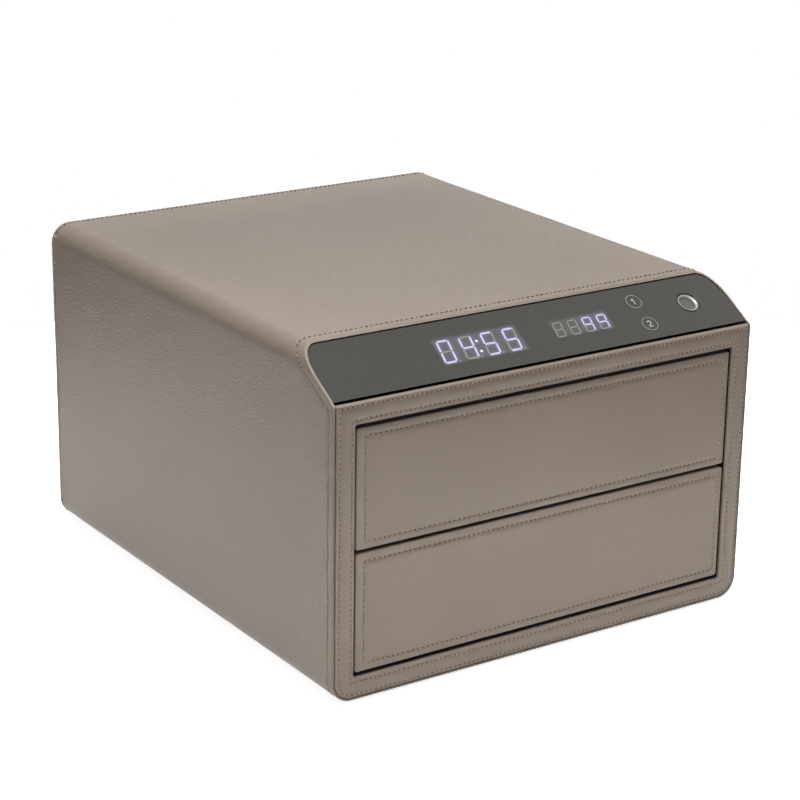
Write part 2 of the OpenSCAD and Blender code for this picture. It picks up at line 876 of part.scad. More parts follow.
// Folded strip that spaces the balls
module cage_outline() {
    half_h = ball_rise + cage_sheet / 2;
    translate([cage_s0, -half_h]) square([cage_sheet, 2 * half_h]);
    at_ball_rows() translate([cage_s0 - ball_s, -cage_sheet / 2]) square([cage_s1 - cage_s0, cage_sheet]);
}

// Screw holes through a rail's web, whose middle is s from the wall
module rail_screw_holes(side, z, s) {
    reach = rail_len / 2 - rail_screw_edge;
    for (step = [-1, 0, 1])
        translate([side * (liner_x - s), rail_mid_y + step * reach, z]) rotate([0, 90, 0])
            cylinder(d = rail_screw_d, h = rail_sheet + 2 * over, center = true);
}

module outer_rails() {
    color("silver") on_feet() for (level = [LOWER, UPPER], side = [-1, 1]) difference() {
        along_y(rail_y0, rail_y0 + rail_len) at_wall(side, slide_z(level)) outer_rail_outline();
        rail_screw_holes(side, slide_z(level), rail_sheet / 2);
    }
}

module inner_rails(level) {
    color("silver") on_feet() for (side = [-1, 1]) difference() {
        along_y(rail_y0, rail_y0 + rail_len) at_wall(side, slide_z(level)) inner_rail_outline();
        rail_screw_holes(side, slide_z(level), slide_w - rail_sheet / 2);
    }
}

// Places of the balls of one drawer
module at_balls(level) {
    for (side = [-1, 1], up = [-1, 1], i = [0 : ball_count - 1])
        translate([
            side * (liner_x - ball_s),
            rail_mid_y + (i - (ball_count - 1) / 2) * ball_pitch,
            slide_z(level) + up * ball_rise
        ]) children();
}

module ball_cages(level) {
    hole_d = ball_d + 4 * run_gap;
    color("silver") on_feet() {
        difference() {
            for (side = [-1, 1])
                along_y(rail_mid_y - cage_len / 2, rail_mid_y + cage_len / 2)
                    at_wall(side, slide_z(level)) cage_outline();
            at_balls(level) cylinder(d = hole_d, h = cage_sheet + over, center = true);
        }
        at_balls(level) sphere(d = ball_d);
    }
}

// Locks and ejectors

// Closed housing with a blind bore for the bolt and an ear at each end
module lock_housings() {
    ear_t = 3;
    color("dimgray") on_feet() for (level = [LOWER, UPPER]) difference() {
        z = lock_z(level);
        union() {
            block([lock_x0, lock_front_y, z - lock_h / 2], [lock_x1, liner_back_y, z + lock_h / 2]);
            block(
                [lock_x0 - lock_ear, liner_back_y - ear_t, z - lock_h / 4],
                [lock_x1 + lock_ear, liner_back_y, z + lock_h / 4]
            );
        }
        translate([-bolt_end_x - bolt_len - over, bolt_y, z]) rotate([0, 90, 0])
            cylinder(d = bolt_d + 2 * run_gap, h = case_w);
        for (x = [lock_x0 - lock_ear / 2, lock_x1 + lock_ear / 2])
            bar_y(x, z, lock_screw_d, liner_back_y - ear_t - over, liner_back_y + over);
    }
}

// Bolt with a tapered nose, withdrawn
module lock_bolt(level) {
    nose = 2;
    color("silver") on_feet() translate([-bolt_end_x - bolt_len, bolt_y, lock_z(level)]) rotate([0, 90, 0]) {
        cylinder(d = bolt_d, h = bolt_len - nose);
        translate([0, 0, bolt_len - nose]) cylinder(d1 = bolt_d, d2 = bolt_d - nose, h = nose);
    }
}

// Folded bracket on the drawer's back: the bolt drops in front of its upturned tab
module strike(level) {
    arm_top = lock_z(level) - bolt_d / 2 - strike_gap;
    arm_z = arm_top - strike_t;
    flange_h = 12;
    tab_y1 = strike_tab_y + strike_t;
    color("silver") on_feet() along_x(strike_x0, strike_x1) {
        translate([box_back_y, arm_top - flange_h]) square([strike_t, flange_h]);
        translate([box_back_y, arm_z]) square([tab_y1 - box_back_y, strike_t]);
        translate([strike_tab_y, arm_z]) square([strike_t, strike_t + bolt_d]);
    }
}

// Post on the liner's back that an ejector spring sits on
module ejector_posts() {
    rim = 1;
    color("dimgray") on_feet() for (level = [LOWER, UPPER]) {
        bar_y(ejector_x, lock_z(level), spring_d + 2 * rim, liner_back_y - post_flange_t, liner_back_y);
        bar_y(ejector_x, lock_z(level), post_d, liner_back_y - post_len, liner_back_y - post_flange_t / 2);
    }
}

// Points of a ring of the spring's wire at a turn of the helix
function spring_ring(turn, r, y, sides) = [
    for (k = [0 : sides - 1])
        let (a = 360 * k / sides, out = r + spring_wire / 2 * cos(a))
            [out * cos(360 * turn), y + spring_wire / 2 * sin(a), out * sin(360 * turn)]
];

// One unbroken wire, pressed together between the drawer's back and the post
module ejector_spring(level) {
    sides = 6;
    rings_per_curl = 8;
    rings = spring_curls * rings_per_curl;
    r = (spring_d - spring_wire) / 2;
    rise = spring_y1 - spring_y0 - spring_wire;
    centres = [for (i = [0 : rings]) spring_y0 + spring_wire / 2 + rise * i / rings];
    least_gap = centres[rings_per_curl] - centres[0] - spring_wire;
    echo(spring_least_gap = least_gap);
    points = [for (i = [0 : rings]) each spring_ring(i / rings_per_curl, r, centres[i], sides)];
    walls = [
        for (i = [0 : rings - 1], k = [0 : sides - 1])
            let (a = i * sides + k, b = i * sides + (k + 1) % sides)
                each [[a, b, a + sides], [b, b + sides, a + sides]]
    ];
    start_cap = [for (k = [1 : sides - 2]) [0, k + 1, k]];
    last = rings * sides;
    end_cap = [for (k = [1 : sides - 2]) [last, last + k, last + k + 1]];
    color("silver") on_feet() translate([ejector_x, 0, lock_z(level)])
        polyhedron(points, concat(walls, start_cap, end_cap));
}

// Drawers

// Height of the middle of a drawer front
function front_mid_z(level) = front_z(level) + front_h / 2;

// Outline of a drawer front, inset from its edges
module front_outline(level, inset) {
    translate([0, front_mid_z(level)])
        rounded_rect(2 * (front_x - inset), front_h - 2 * inset, max(front_r - inset, fit_gap));
}

// Leather over the face and edges of the front board
module front_leather(level) {
    color([0.53, 0.48, 0.45]) on_feet() difference() {
        along_y(front_face_y, front_back_y) front_outline(level, 0);
        translate([0, 0, front_mid_z(level)])
            roll_cuts(2 * front_x, front_h, front_r, front_face_y, front_roll);
        along_y(front_face_y + front_leather_t, front_back_y + over) front_outline(level, front_leather_t);
    }
}

module front_board(level) {
    color("burlywood") on_feet() along_y(front_face_y + front_leather_t, front_back_y)
        front_outline(level, front_leather_t + fit_gap);
}

// Space of the bottom panel and the grooves that hold it
module bottom_space(level, gap) {
    z = box_z(level) + bottom_lift;
    x = box_in_x + groove_d - fit_gap + gap;
    block(
        [-x, front_back_y, z - gap],
        [x, box_in_back_y + groove_d - fit_gap + gap, z + box_bottom_t + gap]
    );
}

module box_walls(level) {
    z0 = box_z(level);
    z1 = z0 + box_h;
    color([0.16, 0.15, 0.14]) on_feet() difference() {
        union() {
            for (side = [-1, 1])
                translate([side * (box_x - box_wall_t / 2), (front_back_y + box_back_y) / 2, (z0 + z1) / 2])
                    cube([box_wall_t, box_back_y - front_back_y, box_h], center = true);
            block([-box_in_x + fit_gap, box_in_back_y, z0], [box_in_x - fit_gap, box_back_y, z1]);
        }
        bottom_space(level, fit_gap);
    }
}

module box_bottom(level) {
    color([0.16, 0.15, 0.14]) on_feet() bottom_space(level, 0);
}

// Suede round the inside of the walls and the front
module wall_lining(level) {
    z0 = floor_z(level);
    z1 = box_z(level) + box_h;
    color([0.72, 0.67, 0.6]) on_feet() difference() {
        block([-box_in_x, front_back_y, z0], [box_in_x, box_in_back_y, z1]);
        block([-lined_x, lined_y0, z0 - over], [lined_x, lined_y1, z1 + over]);
    }
}

module floor_pad(level) {
    color([0.72, 0.67, 0.6]) on_feet()
        block([-lined_x, lined_y0, floor_z(level)], [lined_x, lined_y1, floor_z(level) + pad_t]);
}

// Cross-section of a divider, with a round top
module divider_outline() {
    translate([-divider_t / 2, 0]) square([divider_t, divider_h - divider_t / 2]);
    translate([0, divider_h - divider_t / 2]) circle(d = divider_t);
}

// Divider from wall to wall with its front face at y
module cross_divider(y) {
    along_x(-lined_x + fit_gap, lined_x - fit_gap) translate([y + divider_t / 2, 0]) divider_outline();
}

// Dividers that part the stretch from y0 to y1 into equal compartments
module lengthwise_dividers(count, y0, y1) {
    width = (2 * lined_x - (count - 1) * divider_t) / count;
    if (count > 1)
        for (i = [1 : count - 1])
            along_y(y0 + fit_gap, y1 - fit_gap)
                translate([-lined_x + i * (width + divider_t) - divider_t / 2, 0]) divider_outline();
}

module upper_dividers() {
    color([0.66, 0.61, 0.54]) on_feet() translate([0, 0, floor_z(UPPER) + pad_t]) {
        cross_divider(rings_y1);
        lengthwise_dividers(middle_count, middle_y0, middle_y1);
        cross_divider(middle_y1);
        lengthwise_dividers(rear_count, middle_y1 + divider_t, lined_y1);
    }
}

module lower_dividers() {
    color([0.66, 0.61, 0.54]) on_feet() translate([0, 0, floor_z(LOWER) + pad_t]) {
        lengthwise_dividers(lower_front_count, lined_y0, lower_front_y1);
        cross_divider(lower_front_y1);
    }
}

// Soft rolls side by side: rings are pushed down between them
module upper_ring_rolls() {
    slack = 0.3;
    width = roll_w - slack;
    color([0.74, 0.69, 0.62]) on_feet() translate([0, 0, floor_z(UPPER) + pad_t])
        for (i = [0 : roll_count - 1])
            along_x(-lined_x + slack, lined_x - slack) translate([lined_y0 + (i + 0.5) * roll_w, 0]) {
                translate([-width / 2, 0]) square([width, roll_h - width / 2]);
                translate([0, roll_h - width / 2]) circle(d = width);
            }
}

leather_wrap();
back_cover();
facing_frame();
top_board();
bottom_board();
side_boards();
back_board();
front_rail();
steel_liner();
bay_plate();
divider_plate();
glass_panel();
panel_tray();
control_board();
clock_display();
counter_display();
touch_pads();
fingerprint_ring();
fingerprint_sensor();
board_screws();
backup_battery();
battery_holder();
power_board();
power_inlet();
key_lock_barrel();
key_lock_nut();
key_lock_plug();
key_lock_cam();
outer_rails();
lock_housings();
ejector_posts();
feet();
front_leather(UPPER);  // upper_front_leather
front_board(UPPER);  // upper_front_board
box_walls(UPPER);  // upper_box_walls
box_bottom(UPPER);  // upper_box_bottom
wall_lining(UPPER);  // upper_wall_lining
floor_pad(UPPER);  // upper_floor_pad
upper_dividers();
upper_ring_rolls();
inner_rails(UPPER);  // upper_inner_rails
strike(UPPER);  // upper_strike
ball_cages(UPPER);  // upper_ball_cages
lock_bolt(UPPER);  // upper_lock_bolt
ejector_spring(UPPER);  // upper_ejector_spring
front_leather(LOWER);  // lower_front_leather
front_board(LOWER);  // lower_front_board
box_walls(LOWER);  // lower_box_walls
box_bottom(LOWER);  // lower_box_bottom
wall_lining(LOWER);  // lower_wall_lining
floor_pad(LOWER);  // lower_floor_pad
lower_dividers();
inner_rails(LOWER);  // lower_inner_rails
strike(LOWER);  // lower_strike
ball_cages(LOWER);  // lower_ball_cages
lock_bolt(LOWER);  // lower_lock_bolt
ejector_spring(LOWER);  // lower_ejector_spring
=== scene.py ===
import json
import math

import bmesh
import bpy
from mathutils import Matrix, Vector, noise


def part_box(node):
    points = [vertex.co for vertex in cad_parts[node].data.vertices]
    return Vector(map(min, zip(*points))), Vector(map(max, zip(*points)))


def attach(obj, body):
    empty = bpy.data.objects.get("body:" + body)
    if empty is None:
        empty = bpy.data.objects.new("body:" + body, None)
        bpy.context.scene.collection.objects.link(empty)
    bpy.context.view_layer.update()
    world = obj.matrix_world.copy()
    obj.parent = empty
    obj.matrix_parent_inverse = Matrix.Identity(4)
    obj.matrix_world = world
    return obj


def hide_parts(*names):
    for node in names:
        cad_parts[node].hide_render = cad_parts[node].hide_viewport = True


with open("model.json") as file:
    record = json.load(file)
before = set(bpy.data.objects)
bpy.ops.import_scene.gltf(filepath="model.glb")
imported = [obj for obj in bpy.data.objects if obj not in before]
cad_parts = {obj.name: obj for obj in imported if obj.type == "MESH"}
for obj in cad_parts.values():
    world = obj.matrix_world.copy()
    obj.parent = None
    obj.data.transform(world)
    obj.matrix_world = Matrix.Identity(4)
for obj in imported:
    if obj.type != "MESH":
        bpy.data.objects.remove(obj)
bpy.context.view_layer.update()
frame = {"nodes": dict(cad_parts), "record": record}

nodes = frame["nodes"]
MM = 0.001

# Sizes of the case in millimetres, measured in the part's own frame
CASE_Z0 = 2.5
CASE_Z1 = 192.5
CASE_HALF_W = 140.0
FRONT_Y = -161.0
BACK_Y = 161.0
CORNER_R = 12.0
WRAP_T = 1.5
SKIVED_TOP = 1.0
SKIVED_SIDE = 1.35
SKIVED_FRONT = 0.85
SLANT_Z = 168.7
SLANT_RUN = 39.4
SLANT = math.atan2(CASE_Z1 - SLANT_Z, SLANT_RUN)
FACING_T = 1.6
GLASS_TOP = -0.4
SEAM_PITCH = 3.2
FACING_PITCH = 3.05
WRAP_FURROW = 0.16
WRAP_SEAM_FRONT = 5.2
WRAP_SEAM_BACK = 3.0
FACING_FURROW = 0.3
PRINT_T = 0.04

TOWARD_FRONT = Vector((0.0, -1.0, 0.0))
TOWARD_BACK = Vector((0.0, 1.0, 0.0))
OUT_OF_SLANT = Vector((0.0, -math.sin(SLANT), math.cos(SLANT)))

# Edges that turn by more degrees than this stay sharp
CREASE = 38

# Middles (x, z) of the fittings in the back and the holes cut for them
KEY_LOCK = (0.0, 85.9)
KEY_HOLE_D = 22.2
POWER_INLET = (80.0, 168.4)
INLET_HOLE_D = 14.2

WHITE = (1.0, 1.0, 1.0, 1.0)
BLACK = (0.0, 0.0, 0.0, 1.0)


# Node trees

class Wire:
    """One output of a node; arithmetic with wires and numbers adds Math nodes to its tree."""

    def __init__(self, bench, socket):
        self.bench = bench
        self.socket = socket

    def __add__(self, other):
        return self.bench.math("ADD", self, other)

    def __radd__(self, other):
        return self.bench.math("ADD", other, self)

    def __sub__(self, other):
        return self.bench.math("SUBTRACT", self, other)

    def __rsub__(self, other):
        return self.bench.math("SUBTRACT", other, self)

    def __mul__(self, other):
        return self.bench.math("MULTIPLY", self, other)

    def __rmul__(self, other):
        return self.bench.math("MULTIPLY", other, self)


class Bench:
    """A node tree under construction."""

    def __init__(self, tree):
        self.tree = tree

    def node(self, kind, settings=None, inputs=None, output=0):
        """Adds a node with its settings, then the values or wires of its sockets."""
        node = self.tree.nodes.new(kind)
        for name, value in (settings or {}).items():
            setattr(node, name, value)
        for name, value in (inputs or {}).items():
            self.feed(node.inputs[name], value)
        return Wire(self, node.outputs[output])

    def feed(self, socket, value):
        if isinstance(value, Wire):
            self.tree.links.new(value.socket, socket)
        else:
            socket.default_value = value

    def math(self, operation, first, second):
        return self.node("ShaderNodeMath", {"operation": operation}, {0: first, 1: second})

    def mix(self, share, first, second):
        settings = {"data_type": "RGBA", "clamp_factor": True}
        return self.node("ShaderNodeMix", settings, {0: share, 6: first, 7: second}, 2)

    def noise(self, place, scale, detail=2.0, roughness=0.5):
        inputs = {"Vector": place, "Scale": scale, "Detail": detail, "Roughness": roughness}
        return self.node("ShaderNodeTexNoise", None, inputs)

    def spread(self, value, low, high):
        """Stretches the part of a value between low and high over 0 to 1."""
        return self.node("ShaderNodeMapRange", None, {"Value": value, "From Min": low, "From Max": high})

    def place(self, stretch=(1.0, 1.0, 1.0)):
        """The object's own coordinates in metres, stretched along each axis."""
        here = self.node("ShaderNodeTexCoord", output="Object")
        return self.node("ShaderNodeVectorMath", {"operation": "MULTIPLY"}, {0: here, 1: stretch})

    def vector(self, x=0.0, y=0.0, z=0.0):
        return self.node("ShaderNodeCombineXYZ", None, {0: x, 1: y, 2: z})

    def coated(self, shape, material):
        """A shape of a Geometry Nodes tree, all in one material."""
        return self.node("GeometryNodeSetMaterial", None, {"Geometry": shape, "Material": material})

    def bump(self, height, depth, strength):
        return self.node("ShaderNodeBump", None, {"Height": height, "Distance": depth, "Strength": strength})

    def attribute(self, name):
        """A number that a mesh carries at each of its points."""
        return self.node("ShaderNodeAttribute", {"attribute_name": name}, output="Fac")

    def ray_kinds(self):
        """Whether a ray comes from the camera, off a mirroring surface or through glass."""
        kinds = ("Is Camera Ray", "Is Glossy Ray", "Is Transmission Ray")
        return [self.node("ShaderNodeLightPath", output=kind) for kind in kinds]


def tone(red, green, blue):
    """A colour given as it shows on a screen, 0 to 255, as linear light."""
    out = []
    for part in (red, green, blue):
        part = part / 255
        out.append(part / 12.92 if part <= 0.04045 else ((part + 0.055) / 1.055) ** 2.4)
    return (*out, 1.0)


def shaded(colour, factor):
    return (*(min(part * factor, 1.0) for part in colour[:3]), 1.0)


def finish(name, varying=None, **fixed):
    """A material: values that are the same all over, by socket name, and a function that wires the rest."""
    material = bpy.data.materials.new(name)
    material.use_nodes = True
    shader = material.node_tree.nodes["Principled BSDF"]
    bench = Bench(material.node_tree)
    for socket, value in fixed.items():
        shader.inputs[socket.replace("_", " ")].default_value = value
    if varying:
        for socket, value in varying(bench).items():
            bench.feed(shader.inputs[socket], value)
    return material


# Finishes

def leather(name, colour, grain=1.0):
    """Fine pebbled leather, darker in its creases; turned and cut edges carry a dark edge paint, which in
    gaps and seams is laid on as painted shade.
    """

    def varying(bench):
        place = bench.place()
        inputs = {"Vector": place, "Scale": 1150.0, "Smoothness": 0.55}
        pebble = bench.node("ShaderNodeTexVoronoi", {"feature": "SMOOTH_F1"}, inputs)
        crease = bench.noise(place, 480.0, 4.0, 0.6)
        cloud = bench.noise(place, 13.0, 3.0)
        fibre = bench.noise(bench.place((1.0, 1.0, 26.0)), 34.0, 2.0)
        # Dark edge paint by point, which in gaps and seams stands for painted shade
        edge_paint_and_shade = bench.attribute("edge")
        height = crease * 0.55 - pebble * 0.75
        share = cloud * 0.62 + fibre * 0.22 + crease * 0.34 - pebble * 0.22
        colour_now = bench.mix(share, shaded(colour, 0.86), shaded(colour, 1.13))
        return {
            "Base Color": bench.mix(edge_paint_and_shade, colour_now, EDGE_PAINT_AND_SHADE),
            "Roughness": 0.22 + crease * 0.16 + pebble * 0.08 + edge_paint_and_shade * 0.3,
            "Normal": bench.bump(height, 0.00016 * grain, 0.55),
        }

    return finish(name, varying, Specular_IOR_Level=0.5, Sheen_Weight=0.04, Sheen_Roughness=0.5)


def thread(name, colour):
    """Twisted polyester thread, its strands running askew round it."""

    def varying(bench):
        place = bench.place()
        settings = {"wave_type": "BANDS", "bands_direction": "DIAGONAL"}
        inputs = {"Vector": place, "Scale": 520.0, "Distortion": 0.6}
        strand = bench.node("ShaderNodeTexWave", settings, inputs)
        fuzz = bench.noise(place, 2600.0, 2.0)
        share = strand * 0.6 + fuzz * 0.4
        return {
            "Base Color": bench.mix(share, shaded(colour, 0.72), shaded(colour, 1.16)),
            "Roughness": 0.52 + fuzz * 0.2,
            "Normal": bench.bump(strand, 0.00006, 0.6),
        }

    return finish(name, varying)


def suede(name, colour):
    """Short-napped suede, brushed lighter and darker in soft patches."""

    def varying(bench):
        place = bench.place()
        brushed = bench.noise(bench.place((1.0, 0.45, 1.0)), 46.0, 4.0, 0.6)
        nap = bench.noise(place, 1900.0, 3.0, 0.65)
        share = brushed * 0.95 + nap * 0.5 - 0.24
        return {
            "Base Color": bench.mix(share, shaded(colour, 0.72), shaded(colour, 1.28)),
            "Roughness": 0.82 + nap * 0.16,
            "Normal": bench.bump(nap + brushed * 0.6, 0.00022, 0.5),
        }

    return finish(name, varying, Specular_IOR_Level=0.18, Sheen_Weight=0.3, Sheen_Roughness=0.42)


def smoked_glass(name, colour):
    """Dark polished glass with the faintest waviness and a few wipe marks."""

    def varying(bench):
        wipe = bench.noise(bench.place((1.0, 3.0, 3.0)), 20.0, 3.0)
        speck = bench.noise(bench.place(), 700.0, 2.0)
        share = wipe * 0.7 + speck * 0.3
        return {
            "Base Color": bench.mix(share, shaded(colour, 0.9), shaded(colour, 1.1)),
            "Roughness": 0.05 + wipe * 0.07,
            "Normal": bench.bump(wipe, 0.00004, 0.25),
        }

    return finish(name, varying, IOR=1.52)


def display_film(name, colour, border, glow):
    """The display's filter: it fades to the border's colour and glows round the lit segments."""

    def varying(bench):
        near = bench.attribute("glow")
        inside = bench.attribute("inside")
        haze = bench.noise(bench.place(), 260.0, 3.0)
        film = bench.mix(haze, shaded(colour, 0.92), shaded(colour, 1.08))
        return {
            "Base Color": bench.mix(inside, border, film),
            "Emission Color": bench.mix(near * (0.86 + haze * 0.28), BLACK, glow),
            "Roughness": 0.09 + haze * 0.06,
        }

    return finish(name, varying, IOR=1.52, Emission_Strength=1.0)


def segment_light(name, core, strength):
    """A display segment; its light is a little uneven along its length."""

    def varying(bench):
        patch = bench.noise(bench.place(), 900.0, 2.0)
        return {
            "Base Color": bench.mix(patch, shaded(core, 0.45), shaded(core, 0.6)),
            "Emission Color": bench.mix(patch, shaded(core, 0.88), core),
            "Roughness": 0.2 + patch * 0.1,
        }

    return finish(name, varying, Emission_Strength=strength)


def ink(name, colour):
    """Screen-printed ink, fired onto the glass."""

    def varying(bench):
        mesh_mark = bench.noise(bench.place(), 2200.0, 2.0)
        return {
            "Base Color": bench.mix(mesh_mark, shaded(colour, 0.88), shaded(colour, 1.05)),
            "Roughness": 0.3 + mesh_mark * 0.16,
        }

    return finish(name, varying)


def metal(name, colour, rough, stretch, fineness=900.0, depth=0.00001, axis=None):
    """Bare metal with the marks of rolling along one direction, or of turning round an axis at (x, z)."""

    def varying(bench):
        place = bench.place(stretch)
        if axis:
            ends = {0: place, 1: (axis[0] * MM, 0.0, axis[1] * MM)}
            apart = bench.node("ShaderNodeVectorMath", {"operation": "DISTANCE"}, ends, "Value")
            place = bench.vector(apart)
        line = bench.noise(place, fineness, 3.0, 0.6)
        stain = bench.noise(bench.place(), 60.0, 3.0)
        share = line * 0.6 + stain * 0.4
        return {
            "Base Color": bench.mix(share, shaded(colour, 0.82), shaded(colour, 1.1)),
            "Roughness": (rough - 0.06) + line * 0.1 + stain * 0.06,
            "Normal": bench.bump(line, depth, 0.5),
        }

    return finish(name, varying, Metallic=1.0)


def paint(name, colour, rough, fineness, depth, gloss=0.5):
    """Powder coat, moulded plastic or rubber: an even colour with a fine texture."""

    def varying(bench):
        place = bench.place()
        peel = bench.noise(place, fineness, 3.0, 0.55)
        rub = bench.noise(place, 38.0, 4.0, 0.6)
        share = peel * 0.4 + rub * 0.6
        return {
            "Base Color": bench.mix(share, shaded(colour, 0.78), shaded(colour, 1.22)),
            "Roughness": (rough - 0.08) + rub * 0.12 + peel * 0.06,
            "Normal": bench.bump(peel, depth, 0.6),
        }

    return finish(name, varying, Specular_IOR_Level=gloss)


def fibreboard(name, colour):
    """Medium-density fibreboard, sawn edges and all."""

    def varying(bench):
        place = bench.place()
        fleck = bench.noise(place, 900.0, 4.0, 0.65)
        layer = bench.noise(bench.place((1.0, 1.0, 5.0)), 120.0, 3.0)
        share = fleck * 0.8 + layer * 0.35 - 0.08
        return {
            "Base Color": bench.mix(share, shaded(colour, 0.68), shaded(colour, 1.24)),
            "Roughness": 0.74 + fleck * 0.2,
            "Normal": bench.bump(fleck, 0.00012, 0.6),
        }

    return finish(name, varying, Specular_IOR_Level=0.3)


def circuit_board(name, colour):
    """Green solder mask over copper runs."""

    def varying(bench):
        sizes = {"Scale": 190.0, "Mortar Size": 0.03, "Brick Width": 0.9, "Row Height": 0.3}
        runs = bench.node("ShaderNodeTexBrick", None, {"Vector": bench.place(), **sizes}, "Fac")
        weave = bench.noise(bench.place(), 800.0, 2.0)
        return {
            "Base Color": bench.mix(runs * 0.8 + weave * 0.2, colour, shaded(colour, 2.1)),
            "Roughness": 0.3 + weave * 0.16,
            "Normal": bench.bump(runs, 0.00003, 0.6),
        }

    return finish(name, varying)


TAUPE = tone(150, 135, 121)
# The dark edge paint; laid into gaps and seams it is painted shade
EDGE_PAINT_AND_SHADE = tone(31, 23, 18)
case_leather = leather("case leather", TAUPE, 4.2)
# The facing is a slightly darker copy of the case leather, darkened for how light falls on it: painted shade
shaded_facing_leather = leather("facing leather", shaded(TAUPE, 0.965))
drawer_leather = leather("drawer front leather", shaded(TAUPE, 0.98), 0.8)
# The seam thread is the leather tone lightened as a painted highlight; the top row's thread is the same tone
# darkened as painted shade
highlighted_seam_thread = thread("seam thread", shaded(TAUPE, 1.62))
shaded_top_thread = thread("edge seam thread", shaded(TAUPE, 0.45))
# Needle holes are dark dots: painted shade in the holes, darkest on the top row
needle_hole_shade = paint("needle hole", tone(66, 55, 47), 0.95, 1400.0, 0.00004, 0.1)
top_needle_hole_shade = paint("edge needle hole", tone(50, 41, 34), 0.95, 1400.0, 0.00004, 0.1)
lining_suede = suede("lining suede", tone(150, 137, 124))
roll_suede = suede("ring roll suede", tone(156, 143, 130))
GLASS_TONE = tone(61, 58, 53)
panel_glass = smoked_glass("panel glass", GLASS_TONE)
# Black edge paint on the glass: painted shade in the narrow gaps round its rim and in the sensor's hole
glass_edge_shade = paint("black glass edge", tone(14, 13, 12), 0.9, 900.0, 0.00001, 0.05)
clock_film = display_film("display filter", tone(88, 88, 84), GLASS_TONE, (0.062, 0.057, 0.16, 1.0))
lit_segment = segment_light("lit segment", (0.45, 0.44, 0.59, 1.0), 1.0)
lit_dot = segment_light("lit dot", (0.66, 0.66, 0.7, 1.0), 1.0)
dull_segment = ink("dull segment", tone(138, 136, 128))
white_ink = ink("white ink", tone(212, 210, 206))
grey_ink = ink("grey ink", tone(158, 157, 153))
bright_chrome = metal("satin chrome", (0.34, 0.335, 0.32, 1.0), 0.48, (1.0, 1.0, 1.0), 500.0)
sensor_gloss = paint("sensor face", tone(96, 93, 89), 0.24, 900.0, 0.00001)
zinc = metal("zinc plate", (0.58, 0.59, 0.60, 1.0), 0.36, (1.0, 0.015, 1.0), 900.0, 0.000003)
nickel = metal("lock nickel", (0.36, 0.345, 0.31, 1.0), 0.26, (1.0, 0.0, 1.0), 2600.0, 0.00004, KEY_LOCK)
black_coat = paint("black powder coat", tone(21, 19, 18), 0.7, 700.0, 0.00008, 0.15)
black_plastic = paint("black plastic", tone(32, 31, 31), 0.42, 1200.0, 0.00003)
foot_rubber = paint("foot rubber", tone(38, 37, 36), 0.8, 500.0, 0.00010)
touch_foam = paint("contact foam", tone(70, 68, 66), 0.92, 1300.0, 0.00020)
cell_wrap = paint("cell wrap", tone(60, 84, 120), 0.32, 300.0, 0.00002)
carcass_board = fibreboard("carcass fibreboard", tone(150, 118, 84))
shade_stained_board = fibreboard("stained fibreboard", tone(20, 18, 17))
drawer_board = fibreboard("drawer fibreboard", tone(152, 128, 101))
solder_mask = circuit_board("solder mask", tone(22, 70, 40))

SLOT_FINISH = {
    "leather": case_leather,
    "carcass_board": carcass_board,
    "drawer_board": drawer_board,
    "black_steel": black_coat,
    "panel_glass": panel_glass,
    "black_plastic": black_plastic,
    "circuit_green": solder_mask,
    "display_face": black_plastic,
    "contact_foam": touch_foam,
    "bright_ring": bright_chrome,
    "sensor_face": sensor_gloss,
    "cell_wrap": cell_wrap,
    "lock_metal": nickel,
    "zinc_steel": zinc,
    "suede": lining_suede,
    "foot_rubber": foot_rubber,
}
for part in frame["record"]["subparts"]:
    solid = nodes[part["node"]]
    solid.data.materials.clear()
    solid.data.materials.append(SLOT_FINISH[part["material_slot"]])
# The rail and the side boards show in the gap under the glass, so they are stained dark: painted shade that
# keeps the gap dark from every side
for node in ("front_rail", "side_boards"):
    nodes[node].data.materials[0] = shade_stained_board


# Making a piece

def cad_box(node):
    """A solid's box in millimetres: low corner, high corner."""
    low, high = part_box(node)
    return [part / MM for part in low], [part / MM for part in high]


def make_piece(name, points, faces, material, crease=CREASE, painted=None):
    """A mesh from points in millimetres; edges turned by more than the crease angle stay sharp.

    painted: how much dark edge paint is on a point, 0 to 1, by the point's number; in gaps and seams it is
    painted shade."""
    shape = bmesh.new()
    edge_paint_and_shade = shape.verts.layers.float.new("edge") if painted else None
    corners = [shape.verts.new(Vector(point) * MM) for point in points]
    for i, share in (painted or {}).items():
        corners[i][edge_paint_and_shade] = share
    for face in faces:
        if len(set(face)) == len(face):
            shape.faces.new([corners[i] for i in face])
    bmesh.ops.remove_doubles(shape, verts=shape.verts, dist=1e-6)
    bmesh.ops.dissolve_degenerate(shape, edges=shape.edges, dist=1e-7)
    bmesh.ops.recalc_face_normals(shape, faces=shape.faces)
    return from_shape(name, shape, material, crease)


def smooth(mesh, crease):
    """Smooth shading; edges turned by more than the crease angle stay sharp."""
    mesh.shade_smooth()
    mesh.set_sharp_from_angle(angle=math.radians(crease))


def from_shape(name, shape, material, crease):
    """A finished shape as an object of the scene."""
    mesh = bpy.data.meshes.new(name)
    shape.to_mesh(mesh)
    shape.free()
    mesh.materials.append(material)
    smooth(mesh, crease)
    piece = bpy.data.objects.new(name, mesh)
    bpy.context.scene.collection.objects.link(piece)
    return piece


def settle(piece):
    """Turns a piece's modifiers into plain mesh."""
    depsgraph = bpy.context.evaluated_depsgraph_get()
    mesh = bpy.data.meshes.new_from_object(piece.evaluated_get(depsgraph))
    piece.modifiers.clear()
    piece.data = mesh
    return piece


def cut_away(piece, cutter):
    """Takes a cutter's shape out of a piece and throws the cutter away."""
    cut = piece.modifiers.new("Cut", "BOOLEAN")
    cut.object = cutter
    cut.operation = "DIFFERENCE"
    cut.solver = "EXACT"
    settle(piece)
    bpy.data.objects.remove(cutter)


def fit(piece, body, slot, *replaced):
    """Puts a finished piece on its body, in place of the solids it stands for."""
    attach(piece, body)
    if replaced:
        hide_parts(*replaced)
    return piece


